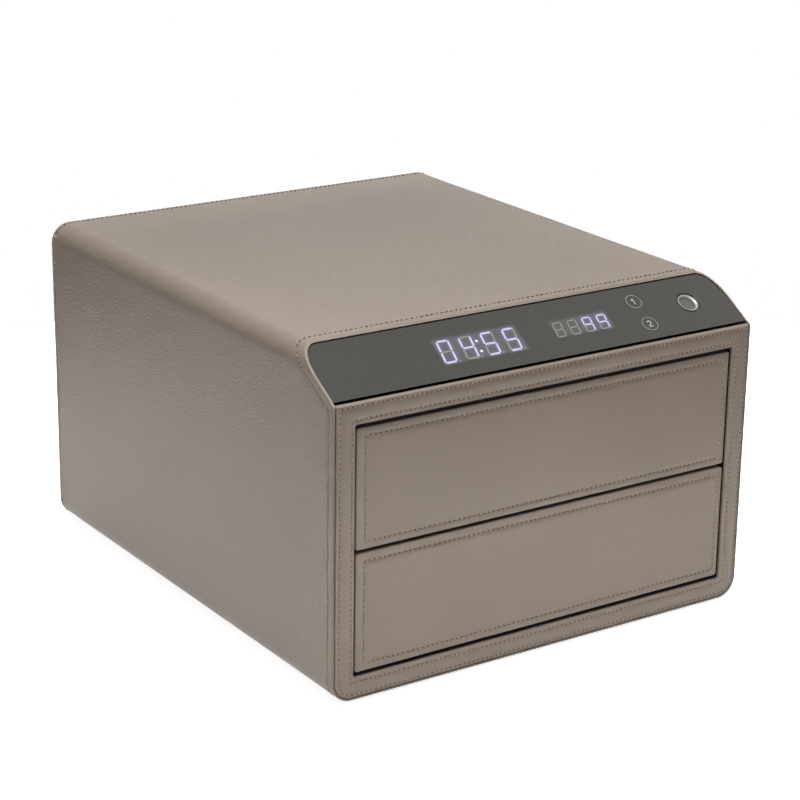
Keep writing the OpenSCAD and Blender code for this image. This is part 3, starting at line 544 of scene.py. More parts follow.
def eased_copy(node, width, material, steps=2):
    """A copy of a solid with its flat faces made whole and its edges eased."""
    shape = bmesh.new()
    shape.from_mesh(nodes[node].data)
    bmesh.ops.remove_doubles(shape, verts=shape.verts, dist=2e-6)
    bmesh.ops.dissolve_limit(shape, angle_limit=0.01, verts=shape.verts, edges=shape.edges)
    points = [vert.co / MM for vert in shape.verts]
    shape.verts.index_update()
    faces = [[vert.index for vert in face.verts] for face in shape.faces]
    shape.free()
    piece = make_piece(node + "_eased", points, faces, material)
    ease = piece.modifiers.new("Eased edges", "BEVEL")
    ease.width = width * MM
    ease.segments = steps
    ease.limit_method = "ANGLE"
    ease.angle_limit = math.radians(CREASE)
    settle(piece)
    smooth(piece.data, CREASE)
    return piece


def paint_edge_and_shade(piece, share):
    """Marks where a leather piece's dark edge paint is, painted shade in its gaps and seams: share gives 0 to
    1 for a point in millimetres.
    """
    edge_paint_and_shade = piece.data.attributes.new("edge", "FLOAT", "POINT")
    for i, vert in enumerate(piece.data.vertices):
        edge_paint_and_shade.data[i].value = min(max(share(*(vert.co / MM)), 0.0), 1.0)


class Skin:
    """Rings of points and the faces between them."""

    def __init__(self):
        self.points = []
        self.faces = []

    def ring(self, points):
        first = len(self.points)
        self.points.extend(points)
        return list(range(first, len(self.points)))

    def band(self, one, other):
        count = len(one)
        for i in range(count):
            j = (i + 1) % count
            self.faces.append((one[i], one[j], other[j], other[i]))

    def bands(self, rings, closed=False):
        """Faces from each ring to the next, and from the last to the first where the row is closed."""
        following = rings[1:] + rings[:1] if closed else rings[1:]
        for one, other in zip(rings, following):
            self.band(one, other)

    def caps(self, first, last):
        """One flat face on each end of a row of rings."""
        self.faces.append(tuple(first))
        self.faces.append(tuple(reversed(last)))

    def piece(self, name, material, crease=CREASE, painted=None):
        return make_piece(name, self.points, self.faces, material, crease, painted)

    def grid(self, rows):
        """Fills between rows of points."""
        rings = [self.ring(row) for row in rows]
        for low, high in zip(rings, rings[1:]):
            for i in range(len(low) - 1):
                self.faces.append((low[i], low[i + 1], high[i + 1], high[i]))


def even(first, last, count):
    """The points between two ends that part the way into count equal steps."""
    return [first + (last - first) * i / count for i in range(1, count)]


def rounded_loop(x0, x1, z0, z1, radii, steps, marks=()):
    """Points (x, z) and outward normals round a rectangle with rounded corners, from its lower left.

    radii: lower right, upper right, upper left, lower left. steps: across, up and round each corner.
    marks: more heights that get a point on each upright side."""
    across, up, turn = steps
    lower_right, upper_right, upper_left, lower_left = radii
    corners = [
        (x1 - lower_right, z0 + lower_right, lower_right, -90),
        (x1 - upper_right, z1 - upper_right, upper_right, 0),
        (x0 + upper_left, z1 - upper_left, upper_left, 90),
        (x0 + lower_left, z0 + lower_left, lower_left, 180),
    ]
    arcs = []
    for x, z, radius, start in corners:
        arc = []
        for i in range(turn + 1):
            angle = math.radians(start + 90 * i / turn)
            nx, nz = math.cos(angle), math.sin(angle)
            arc.append((x + radius * nx, z + radius * nz, nx, nz))
        arcs.append(arc)
    loop = []
    for side in range(4):
        before = arcs[side - 1][-1]
        arc = arcs[side]
        if side % 2 == 0:
            loop += [(x, before[1], 0.0, before[3]) for x in even(before[0], arc[0][0], across)]
        else:
            heights = even(before[1], arc[0][1], up)
            heights += [mark for mark in marks if min(abs(mark - z) for z in heights) > 0.05]
            heights.sort(reverse=before[1] > arc[0][1])
            loop += [(before[0], z, before[2], 0.0) for z in heights]
        loop += arc
    return loop


def arc_steps(radius, count):
    """A quarter round as (inset, depth) pairs, from the side of a piece to its face."""
    steps = []
    for i in range(count + 1):
        angle = math.radians(90 * i / count)
        steps.append((radius * (1 - math.cos(angle)), radius * (1 - math.sin(angle))))
    return steps


def groove(at, depth, width=0.7):
    """The furrow that a row of stitches pulls into leather, as (distance, depth) pairs."""
    shape = ((-1.0, 0.0), (-0.55, 0.45), (0.0, 1.0), (0.55, 0.45), (1.0, 0.0))
    return [(at + width * along, depth * down) for along, down in shape]


def ripple(point, length, height):
    """Slight unevenness of leather over board, always inward: 0 to height."""
    wave = noise.noise(Vector(point) / length)
    return height * (0.5 + 0.5 * wave)


def on_slant(x, v, d):
    """A point on the panel: x across, v up the slant from its lower edge, d out of the slant."""
    y = FRONT_Y + v * math.cos(SLANT) - d * math.sin(SLANT)
    z = SLANT_Z + v * math.sin(SLANT) + d * math.cos(SLANT)
    return (x, y, z)


# Leather case

def wrap_front(z, normal, inset):
    """Where the wrap's front edge is at height z, inset along the leather, and which way it faces."""
    upright = FRONT_Y + inset
    lean = math.cos(SLANT) * normal[1]
    advance = math.sin(SLANT) / math.sqrt(1 - lean * lean)
    slanted = FRONT_Y + (z - SLANT_Z) / math.tan(SLANT) + inset / advance
    soft = 0.35
    top = max(upright, slanted)
    total = math.exp((upright - top) / soft) + math.exp((slanted - top) / soft)
    share = math.exp((slanted - top) / soft) / total
    facing = TOWARD_FRONT.lerp(OUT_OF_SLANT, share).normalized()
    return top + soft * math.log(total), facing


def rolled_edge(edge, outward, facing, back, count=5):
    """Points round the edge between a piece's outside and its end face, starting on the end face."""
    turn = outward.angle(facing)
    radius = back / math.tan(turn / 2)
    centre = edge - radius * (outward + facing) / (1 + outward.dot(facing))
    return [centre + radius * facing.slerp(outward, i / count) for i in range(count + 1)]


def build_case_wrap():
    """The leather round top, sides and bottom; returns its seams over the top and round the other sides."""
    near_slant = [SLANT_Z + step for step in (-2.2, -1.2, -0.6, -0.2, 0.2, 0.6, 1.2, 2.2)]
    loop = rounded_loop(-CASE_HALF_W, CASE_HALF_W, CASE_Z0, CASE_Z1, [CORNER_R] * 4, (56, 34, 14), near_slant)
    front_groove = groove(WRAP_SEAM_FRONT, WRAP_FURROW, 0.75)
    back_groove = groove(WRAP_SEAM_BACK, WRAP_FURROW, 0.75)[::-1]
    front_steps = [(1.6, 0.0), (3.0, 0.0)] + front_groove + [(8.0, 0.0)]
    back_steps = [(5.4, 0.0)] + back_groove + [(1.7, 0.0)]
    lengths = 46
    calm = 20.0
    front_roll = 0.32
    back_roll = 0.6
    skive_reach = 8.0
    bend = 0.6
    skin = Skin()
    rings = []
    painted = {}
    front_line = []
    back_line = []
    for x, z, nx, nz in loop:
        outward = Vector((nx, 0.0, nz))
        normal = (nx, nz)
        edge_y, facing = wrap_front(z, normal, 0.0)
        share = min(max((z - SLANT_Z + bend) / (2 * bend), 0.0), 1.0)
        beside = SKIVED_FRONT + (SKIVED_SIDE - SKIVED_FRONT) * share
        skived = SKIVED_TOP + (beside - SKIVED_TOP) * nx * nx
        inside_y = wrap_front(z - skived * nz, normal, 0.0)[0]
        ring = [Vector((x, inside_y + skive_reach + 1.0, z)) - outward * WRAP_T]
        ring += [Vector((x, inside_y + back, z)) - outward * skived for back in (skive_reach, 0.25, 0.0)]
        ring += rolled_edge(Vector((x, edge_y, z)), outward, facing, front_roll)
        for inset, depth in front_steps:
            ring.append(Vector((x, wrap_front(z, normal, inset)[0], z)) - outward * depth)
        first = ring[-1].y
        last = BACK_Y - back_steps[0][0]
        for y in even(first, last, lengths):
            here = Vector((x, y, z))
            fade = min(1.0, (y - first) / calm, (last - y) / calm)
            uneven = ripple(here, 34.0, 0.16) + ripple(here, 11.0, 0.05)
            ring.append(here - outward * uneven * fade)
        for inset, depth in back_steps:
            ring.append(Vector((x, BACK_Y - inset, z)) - outward * depth)
        ring += rolled_edge(Vector((x, BACK_Y, z)), outward, TOWARD_BACK, back_roll)[::-1]
        ring.append(Vector((x, BACK_Y, z)) - outward * WRAP_T)
        rings.append(skin.ring(ring))
        # The cut edge's dark paint is painted shade: most on the left, where the seam shows as a dark line,
        # and least on the right
        painted.update((i, 0.55 - 0.45 * nx) for i in rings[-1][:3])
        seam_y = wrap_front(z, normal, WRAP_SEAM_FRONT)[0]
        front_line.append((Vector((x, seam_y, z)) - outward * WRAP_FURROW, outward))
        back_line.append((Vector((x, BACK_Y - WRAP_SEAM_BACK, z)) - outward * WRAP_FURROW, outward))
    skin.bands(rings, closed=True)
    piece = skin.piece("case_wrap", case_leather, painted=painted)
    fit(piece, "case", "leather", "leather_wrap")
    top = [i for i, point in enumerate(loop) if point[3] > 0.6]
    rest = range(top[-1], top[0] + len(loop) + 1)
    over = [[line[i] for i in top] for line in (front_line, back_line)]
    round_the_sides = [[line[i % len(loop)] for i in rest] for line in (front_line, back_line)]
    return over, round_the_sides


def build_facing():
    """The leather-covered frame round the drawers, stitched along its outer and inner edges.

    Limits, seams and insets are given for the left, right, lower and upper side."""
    steps = (60, 36, 8)
    outside = (-138.45, 138.75, CASE_Z0 + 1.5, SLANT_Z - 0.45)
    opening = (-126.7, 127.3, CASE_Z0 + 12.8, CASE_Z0 + 154.6)
    outer_seam = (2.4, 1.3, 1.6, 1.35)
    inner_seam = (2.0, 3.2, 2.7, 2.5)
    foot_corner = 10.5
    seam_corner = 0.9
    inner_corner = 1.3
    rise = math.tan(SLANT)
    skin = Skin()
    rings = []

    def outer_loop(insets):
        left, right, foot, head = insets
        low_corner = max(foot_corner - foot, 0.4)
        return rounded_loop(outside[0] + left, outside[1] - right, outside[2] + foot, outside[3] - head,
                            (low_corner, 0.5, 0.5, low_corner), steps)

    def inner_loop(reach, radius):
        left, right, foot, head = reach
        return rounded_loop(opening[0] - left, opening[1] + right, opening[2] - foot, opening[3] + head,
                            [radius] * 4, steps)

    def add(loop, depth, near_top=0.0):
        lift = depth * rise * near_top
        rings.append(skin.ring([(x, FRONT_Y + depth, z + lift * max(0.0, nz)) for x, z, _, nz in loop]))

    rebate = (-0.6, -0.3, -0.4, 0.0)
    add(outer_loop(rebate), FACING_T, 1.0)
    add(outer_loop(rebate), 1.1, 1.0)
    add(outer_loop([0.0] * 4), 1.05, 1.0)
    for inset, depth in arc_steps(0.4, 3):
        add(outer_loop([inset, inset, inset, inset * 0.5]), depth + 0.1, 1.0)
    add(outer_loop([seam * 0.5 for seam in outer_seam]), 0.0)
    furrow = groove(0.0, FACING_FURROW, 0.65)
    for at, depth in furrow:
        add(outer_loop([seam + at for seam in outer_seam]), depth + 0.04)
    add(inner_loop([6.2] * 4, 1.0), 0.0)
    for at, depth in furrow[::-1]:
        add(inner_loop([seam + at for seam in inner_seam], seam_corner), depth + 0.04)
    add(inner_loop([seam * 0.5 for seam in inner_seam], 1.1), 0.0)
    for inset, depth in arc_steps(0.5, 4)[::-1]:
        add(inner_loop([inset] * 4, inner_corner), depth + 0.08)
    add(inner_loop([0.0] * 4, inner_corner), FACING_T)
    skin.bands(rings, closed=True)
    piece = skin.piece("facing", shaded_facing_leather)

    # Dark edge paint on the facing's sides: painted shade, most in the left seam with the wrap, little
    # elsewhere and none on the upper edge or the right inner edge
    def edge_paint_and_shade_share(x, y, z):
        if z > outside[3] - 1.0 or opening[1] - 1.0 < x < opening[1] + 1.0:
            return 0.0
        return min((y - FRONT_Y - 0.45) / 0.35, 0.8 if x < outside[0] + 2.0 else 0.25)

    paint_edge_and_shade(piece, edge_paint_and_shade_share)
    fit(piece, "case", "leather", "facing_frame")
    lines = (outer_loop(outer_seam), inner_loop(inner_seam, seam_corner))
    seam_y = FRONT_Y + FACING_FURROW
    return [[(Vector((x, seam_y, z)), TOWARD_FRONT) for x, z, _, _ in line] for line in lines]


def padded_plate(name, x0, x1, z0, z1, radius, profile, steps, place, material, sides=(1.0, 1.0, 1.0, 1.0)):
    """A plate with rounded corners built from (inset, depth) rings; the first and last rings are filled.

    sides: how much of each inset counts on the left, right, lower and upper side."""
    across, up, _ = steps
    left, right, foot, head = sides
    first, last = profile[0], profile[-1]
    profile = [(max(radius, first[0]), first[1])] + profile + [(max(radius, last[0]), last[1])]
    skin = Skin()
    rings = []

    def limits(inset):
        return x0 + inset * left, x1 - inset * right, z0 + inset * foot, z1 - inset * head

    for inset, depth in profile:
        corner = [max(radius - inset, 0.0)] * 4
        loop = rounded_loop(*limits(inset), corner, steps)
        rings.append(skin.ring([place(x, z, depth) for x, z, _, _ in loop]))
    skin.bands(rings)
    for inset, depth in (profile[0], profile[-1]):
        first_x, last_x, first_z, last_z = limits(inset)
        columns = [first_x] + even(first_x, last_x, across) + [last_x]
        heights = [first_z] + even(first_z, last_z, up) + [last_z]
        skin.grid([[place(x, z, depth) for x in columns] for z in heights])
    return skin.piece(name, material)


def build_drawer_front(level):
    """A drawer front's leather: turned over all four edges of its board and stitched all round.

    The fronts hang a little to the right in the opening."""
    low, high = cad_box(level + "_front_leather")
    face_y, back_y = low[1], high[1]
    deep = back_y - face_y
    edge = 0.25
    seam = 4.6
    furrow = 0.24
    thread_depth = 0.2
    sides = (1.2, 0.74, 0.92, 1.03)
    rim = 0.7
    shade_depth = 3.4
    shade = 0.8
    hang = 0.5
    profile = [(1.3, 1.3), (1.3, deep), (0.3, deep), (0.0, deep - 0.3), (0.0, shade_depth)]
    profile += [(inset, depth + edge) for inset, depth in arc_steps(rim, 5)]
    profile += [(1.5, 0.12), (2.5, 0.08), (3.5, 0.14)]
    profile += [(at, depth + edge) for at, depth in groove(seam, furrow, 0.7)]
    profile += [(7.6, 0.14), (11.0, 0.06), (18.0, 0.0)]

    def place(x, z, depth):
        sag = 0.0
        if depth < edge:
            sag = ripple((x, face_y, z), 30.0, 0.10) * (1 - depth / edge)
        return (x + hang * (1 - depth / deep), face_y + depth + sag, z)

    piece = padded_plate(level + "_front_skin", low[0], high[0], low[2], high[2], 1.6, profile,
                         (66, 18, 4), place, drawer_leather, sides)
    # The front's turned edges darken with depth into the gaps round it: painted shade laid on as edge paint
    paint_edge_and_shade(piece, lambda x, y, z: shade * min((y - face_y - rim) / (shade_depth - rim), 1.0))
    fit(piece, level + "_drawer", "leather", level + "_front_leather")
    left, right, foot, head = [seam * share for share in sides]
    loop = rounded_loop(low[0] + left + hang, high[0] - right + hang, low[2] + foot, high[2] - head,
                        [0.9] * 4, (66, 18, 3))
    line_y = face_y + edge + thread_depth
    return [[(Vector((x, line_y, z)), TOWARD_FRONT) for x, z, _, _ in loop]]


def build_back_cover():
    """The leather over the back, with round openings for the key lock and the power inlet."""
    low, high = cad_box("back_cover")
    profile = [(0.0, 0.0), (0.0, 0.6)]
    profile += [(inset, 1.5 - depth) for inset, depth in arc_steps(0.9, 4)]
    profile += [(5.0, 1.5), (12.0, 1.42), (30.0, 1.45), (60.0, 1.5)]

    def place(x, z, depth):
        return (x, low[1] + depth, z)

    piece = padded_plate("back_leather", low[0], high[0], low[2], high[2], 10.4, profile, (40, 26, 8), place,
                         case_leather)
    for (x, z), across in ((KEY_LOCK, KEY_HOLE_D), (POWER_INLET, INLET_HOLE_D)):
        middle = Vector((x, BACK_Y - 0.7, z)) * MM
        bpy.ops.mesh.primitive_cylinder_add(vertices=64, radius=across / 2 * MM, depth=20 * MM,
                                            location=middle, rotation=(math.pi / 2, 0, 0))
        cut_away(piece, bpy.context.object)
    smooth(piece.data, CREASE)
    fit(piece, "case", "leather", "back_cover")


# Stitches

def start_tree(name, path, numbers, finishes):
    """A Geometry Nodes tree with named inputs: its bench and a function that gives an input's wire."""
    tree = bpy.data.node_groups.new(name, "GeometryNodeTree")
    for kind, labels in (("Geometry", (path,)), ("Float", numbers), ("Material", finishes)):
        for label in labels:
            tree.interface.new_socket(label, in_out="INPUT", socket_type="NodeSocket" + kind)
    tree.interface.new_socket(name, in_out="OUTPUT", socket_type="NodeSocketGeometry")
    bench = Bench(tree)
    entry = tree.nodes.new("NodeGroupInput")

    def given(label):
        return Wire(bench, entry.outputs[label])

    return bench, given


def end_tree(bench, result):
    leave = bench.tree.nodes.new("NodeGroupOutput")
    bench.feed(leave.inputs[0], result)
    return bench.tree


def outward_at_point(bench):
    """Which way the surface faces at each point of a path."""
    settings = {"data_type": "FLOAT_VECTOR"}
    return bench.node("GeometryNodeInputNamedAttribute", settings, {"Name": "outward"})


def random_vector(bench, low, high, seed):
    settings = {"data_type": "FLOAT_VECTOR"}
    return bench.node("FunctionNodeRandomValue", settings, {"Min": low, "Max": high, "Seed": seed})


def stitch_tree():
    """Stitches along seam lines: a leaning bit of thread at every step and a needle hole between two.

    The thread pulls the holes less open on upright runs."""
    stands_out = 0.3
    hole_width = 0.62
    hole_depth = 0.3
    hole_lean = 2.6
    pulled_shut = 0.42
    bench, given = start_tree("Stitches", "Seams", ("Pitch", "Length", "Thread", "Hole", "Lean"),
                              ("Thread finish", "Hole finish"))
    seam = bench.node("GeometryNodeMeshToCurve", None, {0: given("Seams")})
    spacing = {"Curve": seam, "Length": given("Pitch")}
    steps = bench.node("GeometryNodeResampleCurve", {"mode": "LENGTH"}, spacing)
    bead = bench.node("GeometryNodeMeshUVSphere", None, {"Segments": 8, "Rings": 6, "Radius": 0.5})
    size = bench.vector(given("Length"), given("Thread"), given("Thread"))
    turn = bench.vector(z=given("Lean"))
    raise_by = bench.vector(z=given("Thread") * stands_out)
    bit = bench.node("GeometryNodeTransform", None,
                     {"Geometry": bead, "Translation": raise_by, "Rotation": turn, "Scale": size})
    bit = bench.coated(bit, given("Thread finish"))
    dot = bench.node("GeometryNodeMeshUVSphere", None, {"Segments": 8, "Rings": 4, "Radius": 0.5})
    wide = bench.vector(given("Hole"), given("Hole") * hole_width, given("Hole") * hole_depth)
    askew = bench.vector(z=given("Lean") * hole_lean)
    dot = bench.node("GeometryNodeTransform", None, {"Geometry": dot, "Rotation": askew, "Scale": wide})
    dot = bench.coated(dot, given("Hole finish"))
    wobble = random_vector(bench, (-0.1, -0.1, -0.34), (0.1, 0.1, 0.34), 7)
    growth = random_vector(bench, (0.84, 0.8, 0.75), (1.12, 1.2, 1.25), 11)
    along = bench.node("GeometryNodeInputTangent")
    aim = bench.node("FunctionNodeAxesToRotation", {"primary_axis": "Z", "secondary_axis": "X"},
                     {0: outward_at_point(bench), 1: along})
    wobble = bench.node("FunctionNodeEulerToRotation", None, {0: wobble})
    aim = bench.node("FunctionNodeRotateRotation", {"rotation_space": "LOCAL"}, {0: aim, 1: wobble})
    threads = bench.node("GeometryNodeInstanceOnPoints", None,
                         {"Points": steps, "Instance": bit, "Rotation": aim, "Scale": growth})
    half_step = bench.node("ShaderNodeVectorMath", {"operation": "SCALE"},
                           {0: along, "Scale": given("Pitch") * 0.5})
    between = bench.node("GeometryNodeSetPosition", None, {"Geometry": steps, "Offset": half_step})
    upright = bench.node("ShaderNodeSeparateXYZ", None, {0: along}, "Z")
    opened = 1 - upright * upright * pulled_shut
    opened = bench.vector(opened, opened, opened)
    holes = bench.node("GeometryNodeInstanceOnPoints", None,
                       {"Points": between, "Instance": dot, "Rotation": aim, "Scale": opened})
    join = bench.tree.nodes.new("GeometryNodeJoinGeometry")
    for part in (holes, threads):
        bench.feed(join.inputs[0], part)
    whole = bench.node("GeometryNodeRealizeInstances", None, {"Geometry": Wire(bench, join.outputs[0])})
    return end_tree(bench, whole)


def grow(name, tree, values, points, edges, outward):
    """Runs a node tree on a path of points and keeps its result as a plain mesh."""
    mesh = bpy.data.meshes.new(name)
    mesh.from_pydata([Vector(point) * MM for point in points], edges, [])
    normals = mesh.attributes.new("outward", "FLOAT_VECTOR", "POINT")
    for i, normal in enumerate(outward):
        normals.data[i].vector = normal
    piece = bpy.data.objects.new(name, mesh)
    bpy.context.scene.collection.objects.link(piece)
    step = piece.modifiers.new(tree.name, "NODES")
    step.node_group = tree
    for item in tree.interface.items_tree:
        if item.item_type == "SOCKET" and item.name in values:
            step[item.identifier] = values[item.name]
    settle(piece)
    piece.data.shade_smooth()
    return piece


def sew(name, body, tree, lines, pitch, colours, closed=True, stitch=(2.2, 0.68, 1.2)):
    """One mesh with all the stitches of a body's seam lines; stitch: its length, thread and needle hole."""
    points = []
    edges = []
    outward = []
    for line in lines:
        first = len(points)
        count = len(line)
        points += [point for point, _ in line]
        outward += [normal for _, normal in line]
        edges += [(first + i, first + (i + 1) % count) for i in range(count if closed else count - 1)]
    values = {
        "Pitch": pitch * MM,
        "Length": stitch[0] * MM,
        "Thread": stitch[1] * MM,
        "Hole": stitch[2] * MM,
        "Lean": math.radians(9),
        "Thread finish": colours[0],
        "Hole finish": colours[1],
    }
    fit(grow(name, tree, values, points, edges, outward), body, "leather")


# Screws

def screw_tree():
    """Cross-head screws standing on points, each turned as its driver left it."""
    arm_length = 0.58
    arm_width = 0.13
    quarter_turn = 1.57
    bench, given = start_tree("Screws", "Places", ("Head", "Height", "Top"), ("Finish",))
    head = bench.node("GeometryNodeMeshCone", None, {
        "Vertices": 20,
        "Radius Top": given("Head") * given("Top") * 0.5,
        "Radius Bottom": given("Head") * 0.5,
        "Depth": given("Height"),
    })
    lift = bench.vector(z=given("Height"))
    arms = []
    for along, across in ((arm_length, arm_width), (arm_width, arm_length)):
        size = bench.vector(given("Head") * along, given("Head") * across, given("Height"))
        arm = bench.node("GeometryNodeMeshCube", None, {"Size": size})
        arms.append(bench.node("GeometryNodeTransform", None, {"Geometry": arm, "Translation": lift}))
    cut = bench.tree.nodes.new("GeometryNodeMeshBoolean")
    cut.operation = "DIFFERENCE"
    cut.solver = "EXACT"
    bench.feed(cut.inputs["Mesh 1"], head)
    for arm in arms:
        bench.feed(cut.inputs["Mesh 2"], arm)
    aim = bench.node("FunctionNodeAlignRotationToVector", {"axis": "Z"}, {"Vector": outward_at_point(bench)})
    driven = random_vector(bench, (0.0, 0.0, 0.0), (0.0, 0.0, quarter_turn), 5)
    driven = bench.node("FunctionNodeEulerToRotation", None, {0: driven})
    aim = bench.node("FunctionNodeRotateRotation", {"rotation_space": "LOCAL"}, {0: aim, 1: driven})
    row = bench.node("GeometryNodeInstanceOnPoints", None,
                     {"Points": given("Places"), "Instance": Wire(bench, cut.outputs[0]), "Rotation": aim})
    whole = bench.node("GeometryNodeRealizeInstances", None, {"Geometry": row})
    return end_tree(bench, bench.coated(whole, given("Finish")))


def drive_rail_screws():
    """Flush screws that hold the outer rails to the liner, and pan heads that hold the inner rails."""
    tree = screw_tree()
    sheet = 1.2
    hole_from_end = 32.0
    sunk = 0.05
    flush = {"Head": 4.1 * MM, "Height": 1.0 * MM, "Top": 0.94, "Finish": zinc}
    pan = {"Head": 6.4 * MM, "Height": 1.8 * MM, "Top": 0.72, "Finish": zinc}

    def drive(name, body, sizes, base_x, facing, places):
        row = []
        outward = []
        for side in (-1, 1):
            row += [(side * base_x, y, z) for y, z in places]
            outward += [(side * facing, 0.0, 0.0)] * len(places)
        fit(grow(name, tree, sizes, row, [], outward), body, "zinc_steel")

    every_place = []
    for level in ("upper", "lower"):
        low, high = cad_box(level + "_inner_rails")
        ends = (low[1] + hole_from_end, high[1] - hole_from_end)
        places = [(y, (low[2] + high[2]) / 2) for y in (ends[0], sum(ends) / 2, ends[1])]
        every_place += places
        web_x = cad_box(level + "_box_walls")[1][0] + sheet
        drive(level + "_rail_screws", level + "_drawer", pan, web_x, 1, places)
    flush_base = cad_box("outer_rails")[1][0] - sheet + sunk + flush["Height"] / MM
    drive("outer_rail_screws", "case", flush, flush_base, -1, every_place)


# Panel

def slant_plate(name, middle, size, radius, low, high, material, steps=(2, 2, 4)):
    """A thin plate on the panel: middle and size in (x, v), from low to high above the slant."""
    x0, x1 = middle[0] - size[0] / 2, middle[0] + size[0] / 2
    v0, v1 = middle[1] - size[1] / 2, middle[1] + size[1] / 2
    profile = [(0.0, low), (0.0, high)]
    return padded_plate(name, x0, x1, v0, v1, radius, profile, steps, on_slant, material)


DIGIT_SEGMENTS = {
    "0": "abcdef",
    "4": "bcfg",
    "5": "acdfg",
    "9": "abcfg",
    " ": "",
}


def digit_outlines(width, height, bar):
    """The seven bars of a digit standing on (0, 0): an outline of six corners by each bar's letter."""
    half = bar / 2
    gap = bar * 0.14
    left, right = half, width - half
    foot, mid, head = half, height / 2, height - half
    across = {"a": head, "d": foot, "g": mid}
    upright = {
        "f": (left, mid, head),
        "b": (right, mid, head),
        "e": (left, foot, mid),
        "c": (right, foot, mid),
    }
    outlines = {}
    for name, v in across.items():
        x0, x1 = left + gap, right - gap
        outlines[name] = [(x0, v), (x0 + half, v - half), (x1 - half, v - half),
                          (x1, v), (x1 - half, v + half), (x0 + half, v + half)]
    for name, (x, low, high) in upright.items():
        v0, v1 = low + gap, high - gap
        outlines[name] = [(x, v0), (x + half, v0 + half), (x + half, v1 - half),
                          (x, v1), (x - half, v1 - half), (x - half, v0 + half)]
    return outlines


def build_display(name, text, middle, size, digit, pitch, first, bar, lean, dots, colon):
    """A display's filter plate with its lit and dull segments, sitting in the face of the glass."""
    near_reach = 0.9
    far_reach = 3.0
    far_share = 0.12
    border_fade = 1.6
    mark_t = 0.05
    width, height = digit
    first_x, foot_v = first
    lit = []
    dull = []
    for place, sign in enumerate(text):
        x0 = first_x + place * pitch
        for segment, outline in digit_outlines(width, height, bar).items():
            shape = [(x0 + x + lean * v / height, foot_v + v) for x, v in outline]
            (lit if segment in DIGIT_SEGMENTS[sign] else dull).append(shape)
        if dots:
            dull.append(round_outline((x0 + width + bar * 1.2, foot_v + bar * 0.5), bar * 0.5, 10))
    points = [round_outline(dot, bar * 0.7, 14) for dot in colon]
    steps = (int(size[0] / 0.8), int(size[1] / 0.8), 3)
    film = slant_plate(name + "_film", middle, size, 0.8, GLASS_TOP - 0.3, GLASS_TOP + 0.02,
                       clock_film, steps)
    glow = film.data.attributes.new("glow", "FLOAT", "POINT")
    inside = film.data.attributes.new("inside", "FLOAT", "POINT")
    for i, vert in enumerate(film.data.vertices):
        x = vert.co.x / MM
        v = (vert.co.y / MM - FRONT_Y) / math.cos(SLANT)
        near = min(outline_distance((x, v), outline) for outline in lit + points)
        glow.data[i].value = math.exp(-near / near_reach) + far_share * math.exp(-near / far_reach)
        border = min(size[0] / 2 - abs(x - middle[0]), size[1] / 2 - abs(v - middle[1]))
        inside.data[i].value = min(max(border / border_fade, 0.0), 1.0)
    fit(film, "case", "display_face")
    marks = [("lit_segments", lit, lit_segment), ("dull_segments", dull, dull_segment)]
    if points:
        marks.append(("colon", points, lit_dot))
    for label, outlines, material in marks:
        print_marks(name + "_" + label, outlines, mark_t, material, "display_face")


def print_marks(name, outlines, thick, material, slot):
    """Flat marks on the glass, all in one piece."""
    skin = Skin()
    for outline in outlines:
        lower = skin.ring([on_slant(x, v, GLASS_TOP) for x, v in outline])
        upper = skin.ring([on_slant(x, v, GLASS_TOP + thick) for x, v in outline])
        skin.band(lower, upper)
        skin.caps(upper, lower)
    fit(skin.piece(name, material), "case", slot)


def round_outline(middle, radius, count):
    """Points round a circle."""
    out = []
    for i in range(count):
        angle = 2 * math.pi * i / count
        out.append((middle[0] + radius * math.cos(angle), middle[1] + radius * math.sin(angle)))
    return out


def outline_distance(point, outline):
    """How far a point on the panel is from a segment's nearest edge or corner."""
    best = 1e9
    px, pv = point
    for (x0, v0), (x1, v1) in zip(outline, outline[1:] + outline[:1]):
        dx, dv = x1 - x0, v1 - v0
        along = ((px - x0) * dx + (pv - v0) * dv) / max(dx * dx + dv * dv, 1e-9)
        along = min(max(along, 0.0), 1.0)
        best = min(best, math.hypot(px - x0 - along * dx, pv - v0 - along * dv))
    return best


def arc_points(middle, radius, start, stop, count):
    """Points along an arc, its angles in degrees."""
    out = []
    for i in range(count + 1):
        angle = math.radians(start + (stop - start) * i / count)
        out.append((middle[0] + radius * math.cos(angle), middle[1] + radius * math.sin(angle)))
    return out


def numeral_one(tall, stroke):
    """The outline of a 1 with a slanted flag, about its middle."""
    half = stroke / 2
    top = tall / 2
    flag = 0.28 * tall
    return [(-half, -top), (half, -top), (half, top), (-half, top), (-half - flag, top - 0.8 * flag),
            (-half - flag, top - 0.8 * flag - 0.95 * stroke), (-half, top - 1.05 * stroke)]


def numeral_two(tall, stroke):
    """The outline of a 2: a bowl, a straight back and a foot, about its middle."""
    top = tall / 2
    outer = 0.3 * tall
    middle = (0.0, top - outer)
    bowl = arc_points(middle, outer, 165, -38, 14)
    hollow = arc_points(middle, outer - stroke, -38, 165, 12)
    back = 1.2 * stroke
    sole = -top + stroke
    foot = [(-outer + back, sole), (outer, sole), (outer, -top), (-outer, -top), (-outer, sole)]
    return bowl + foot + hollow


KEY_MARKS = {"1": numeral_one(4.3, 0.52), "2": numeral_two(4.5, 0.66)}


def build_touch_key(number, x, v):
    """A ring and a numeral, printed on the glass."""
    outer, inner = 4.98, 4.6
    printed = GLASS_TOP + PRINT_T
    line = ((outer, GLASS_TOP), (outer, printed), (inner, printed), (inner, GLASS_TOP))
    fit(turned("key_ring_" + number, line, (x, v), grey_ink, CREASE), "case", "panel_glass")
    outline = [(x + px, v + pv) for px, pv in KEY_MARKS[number]]
    print_marks("key_mark_" + number, [outline], PRINT_T, white_ink, "panel_glass")


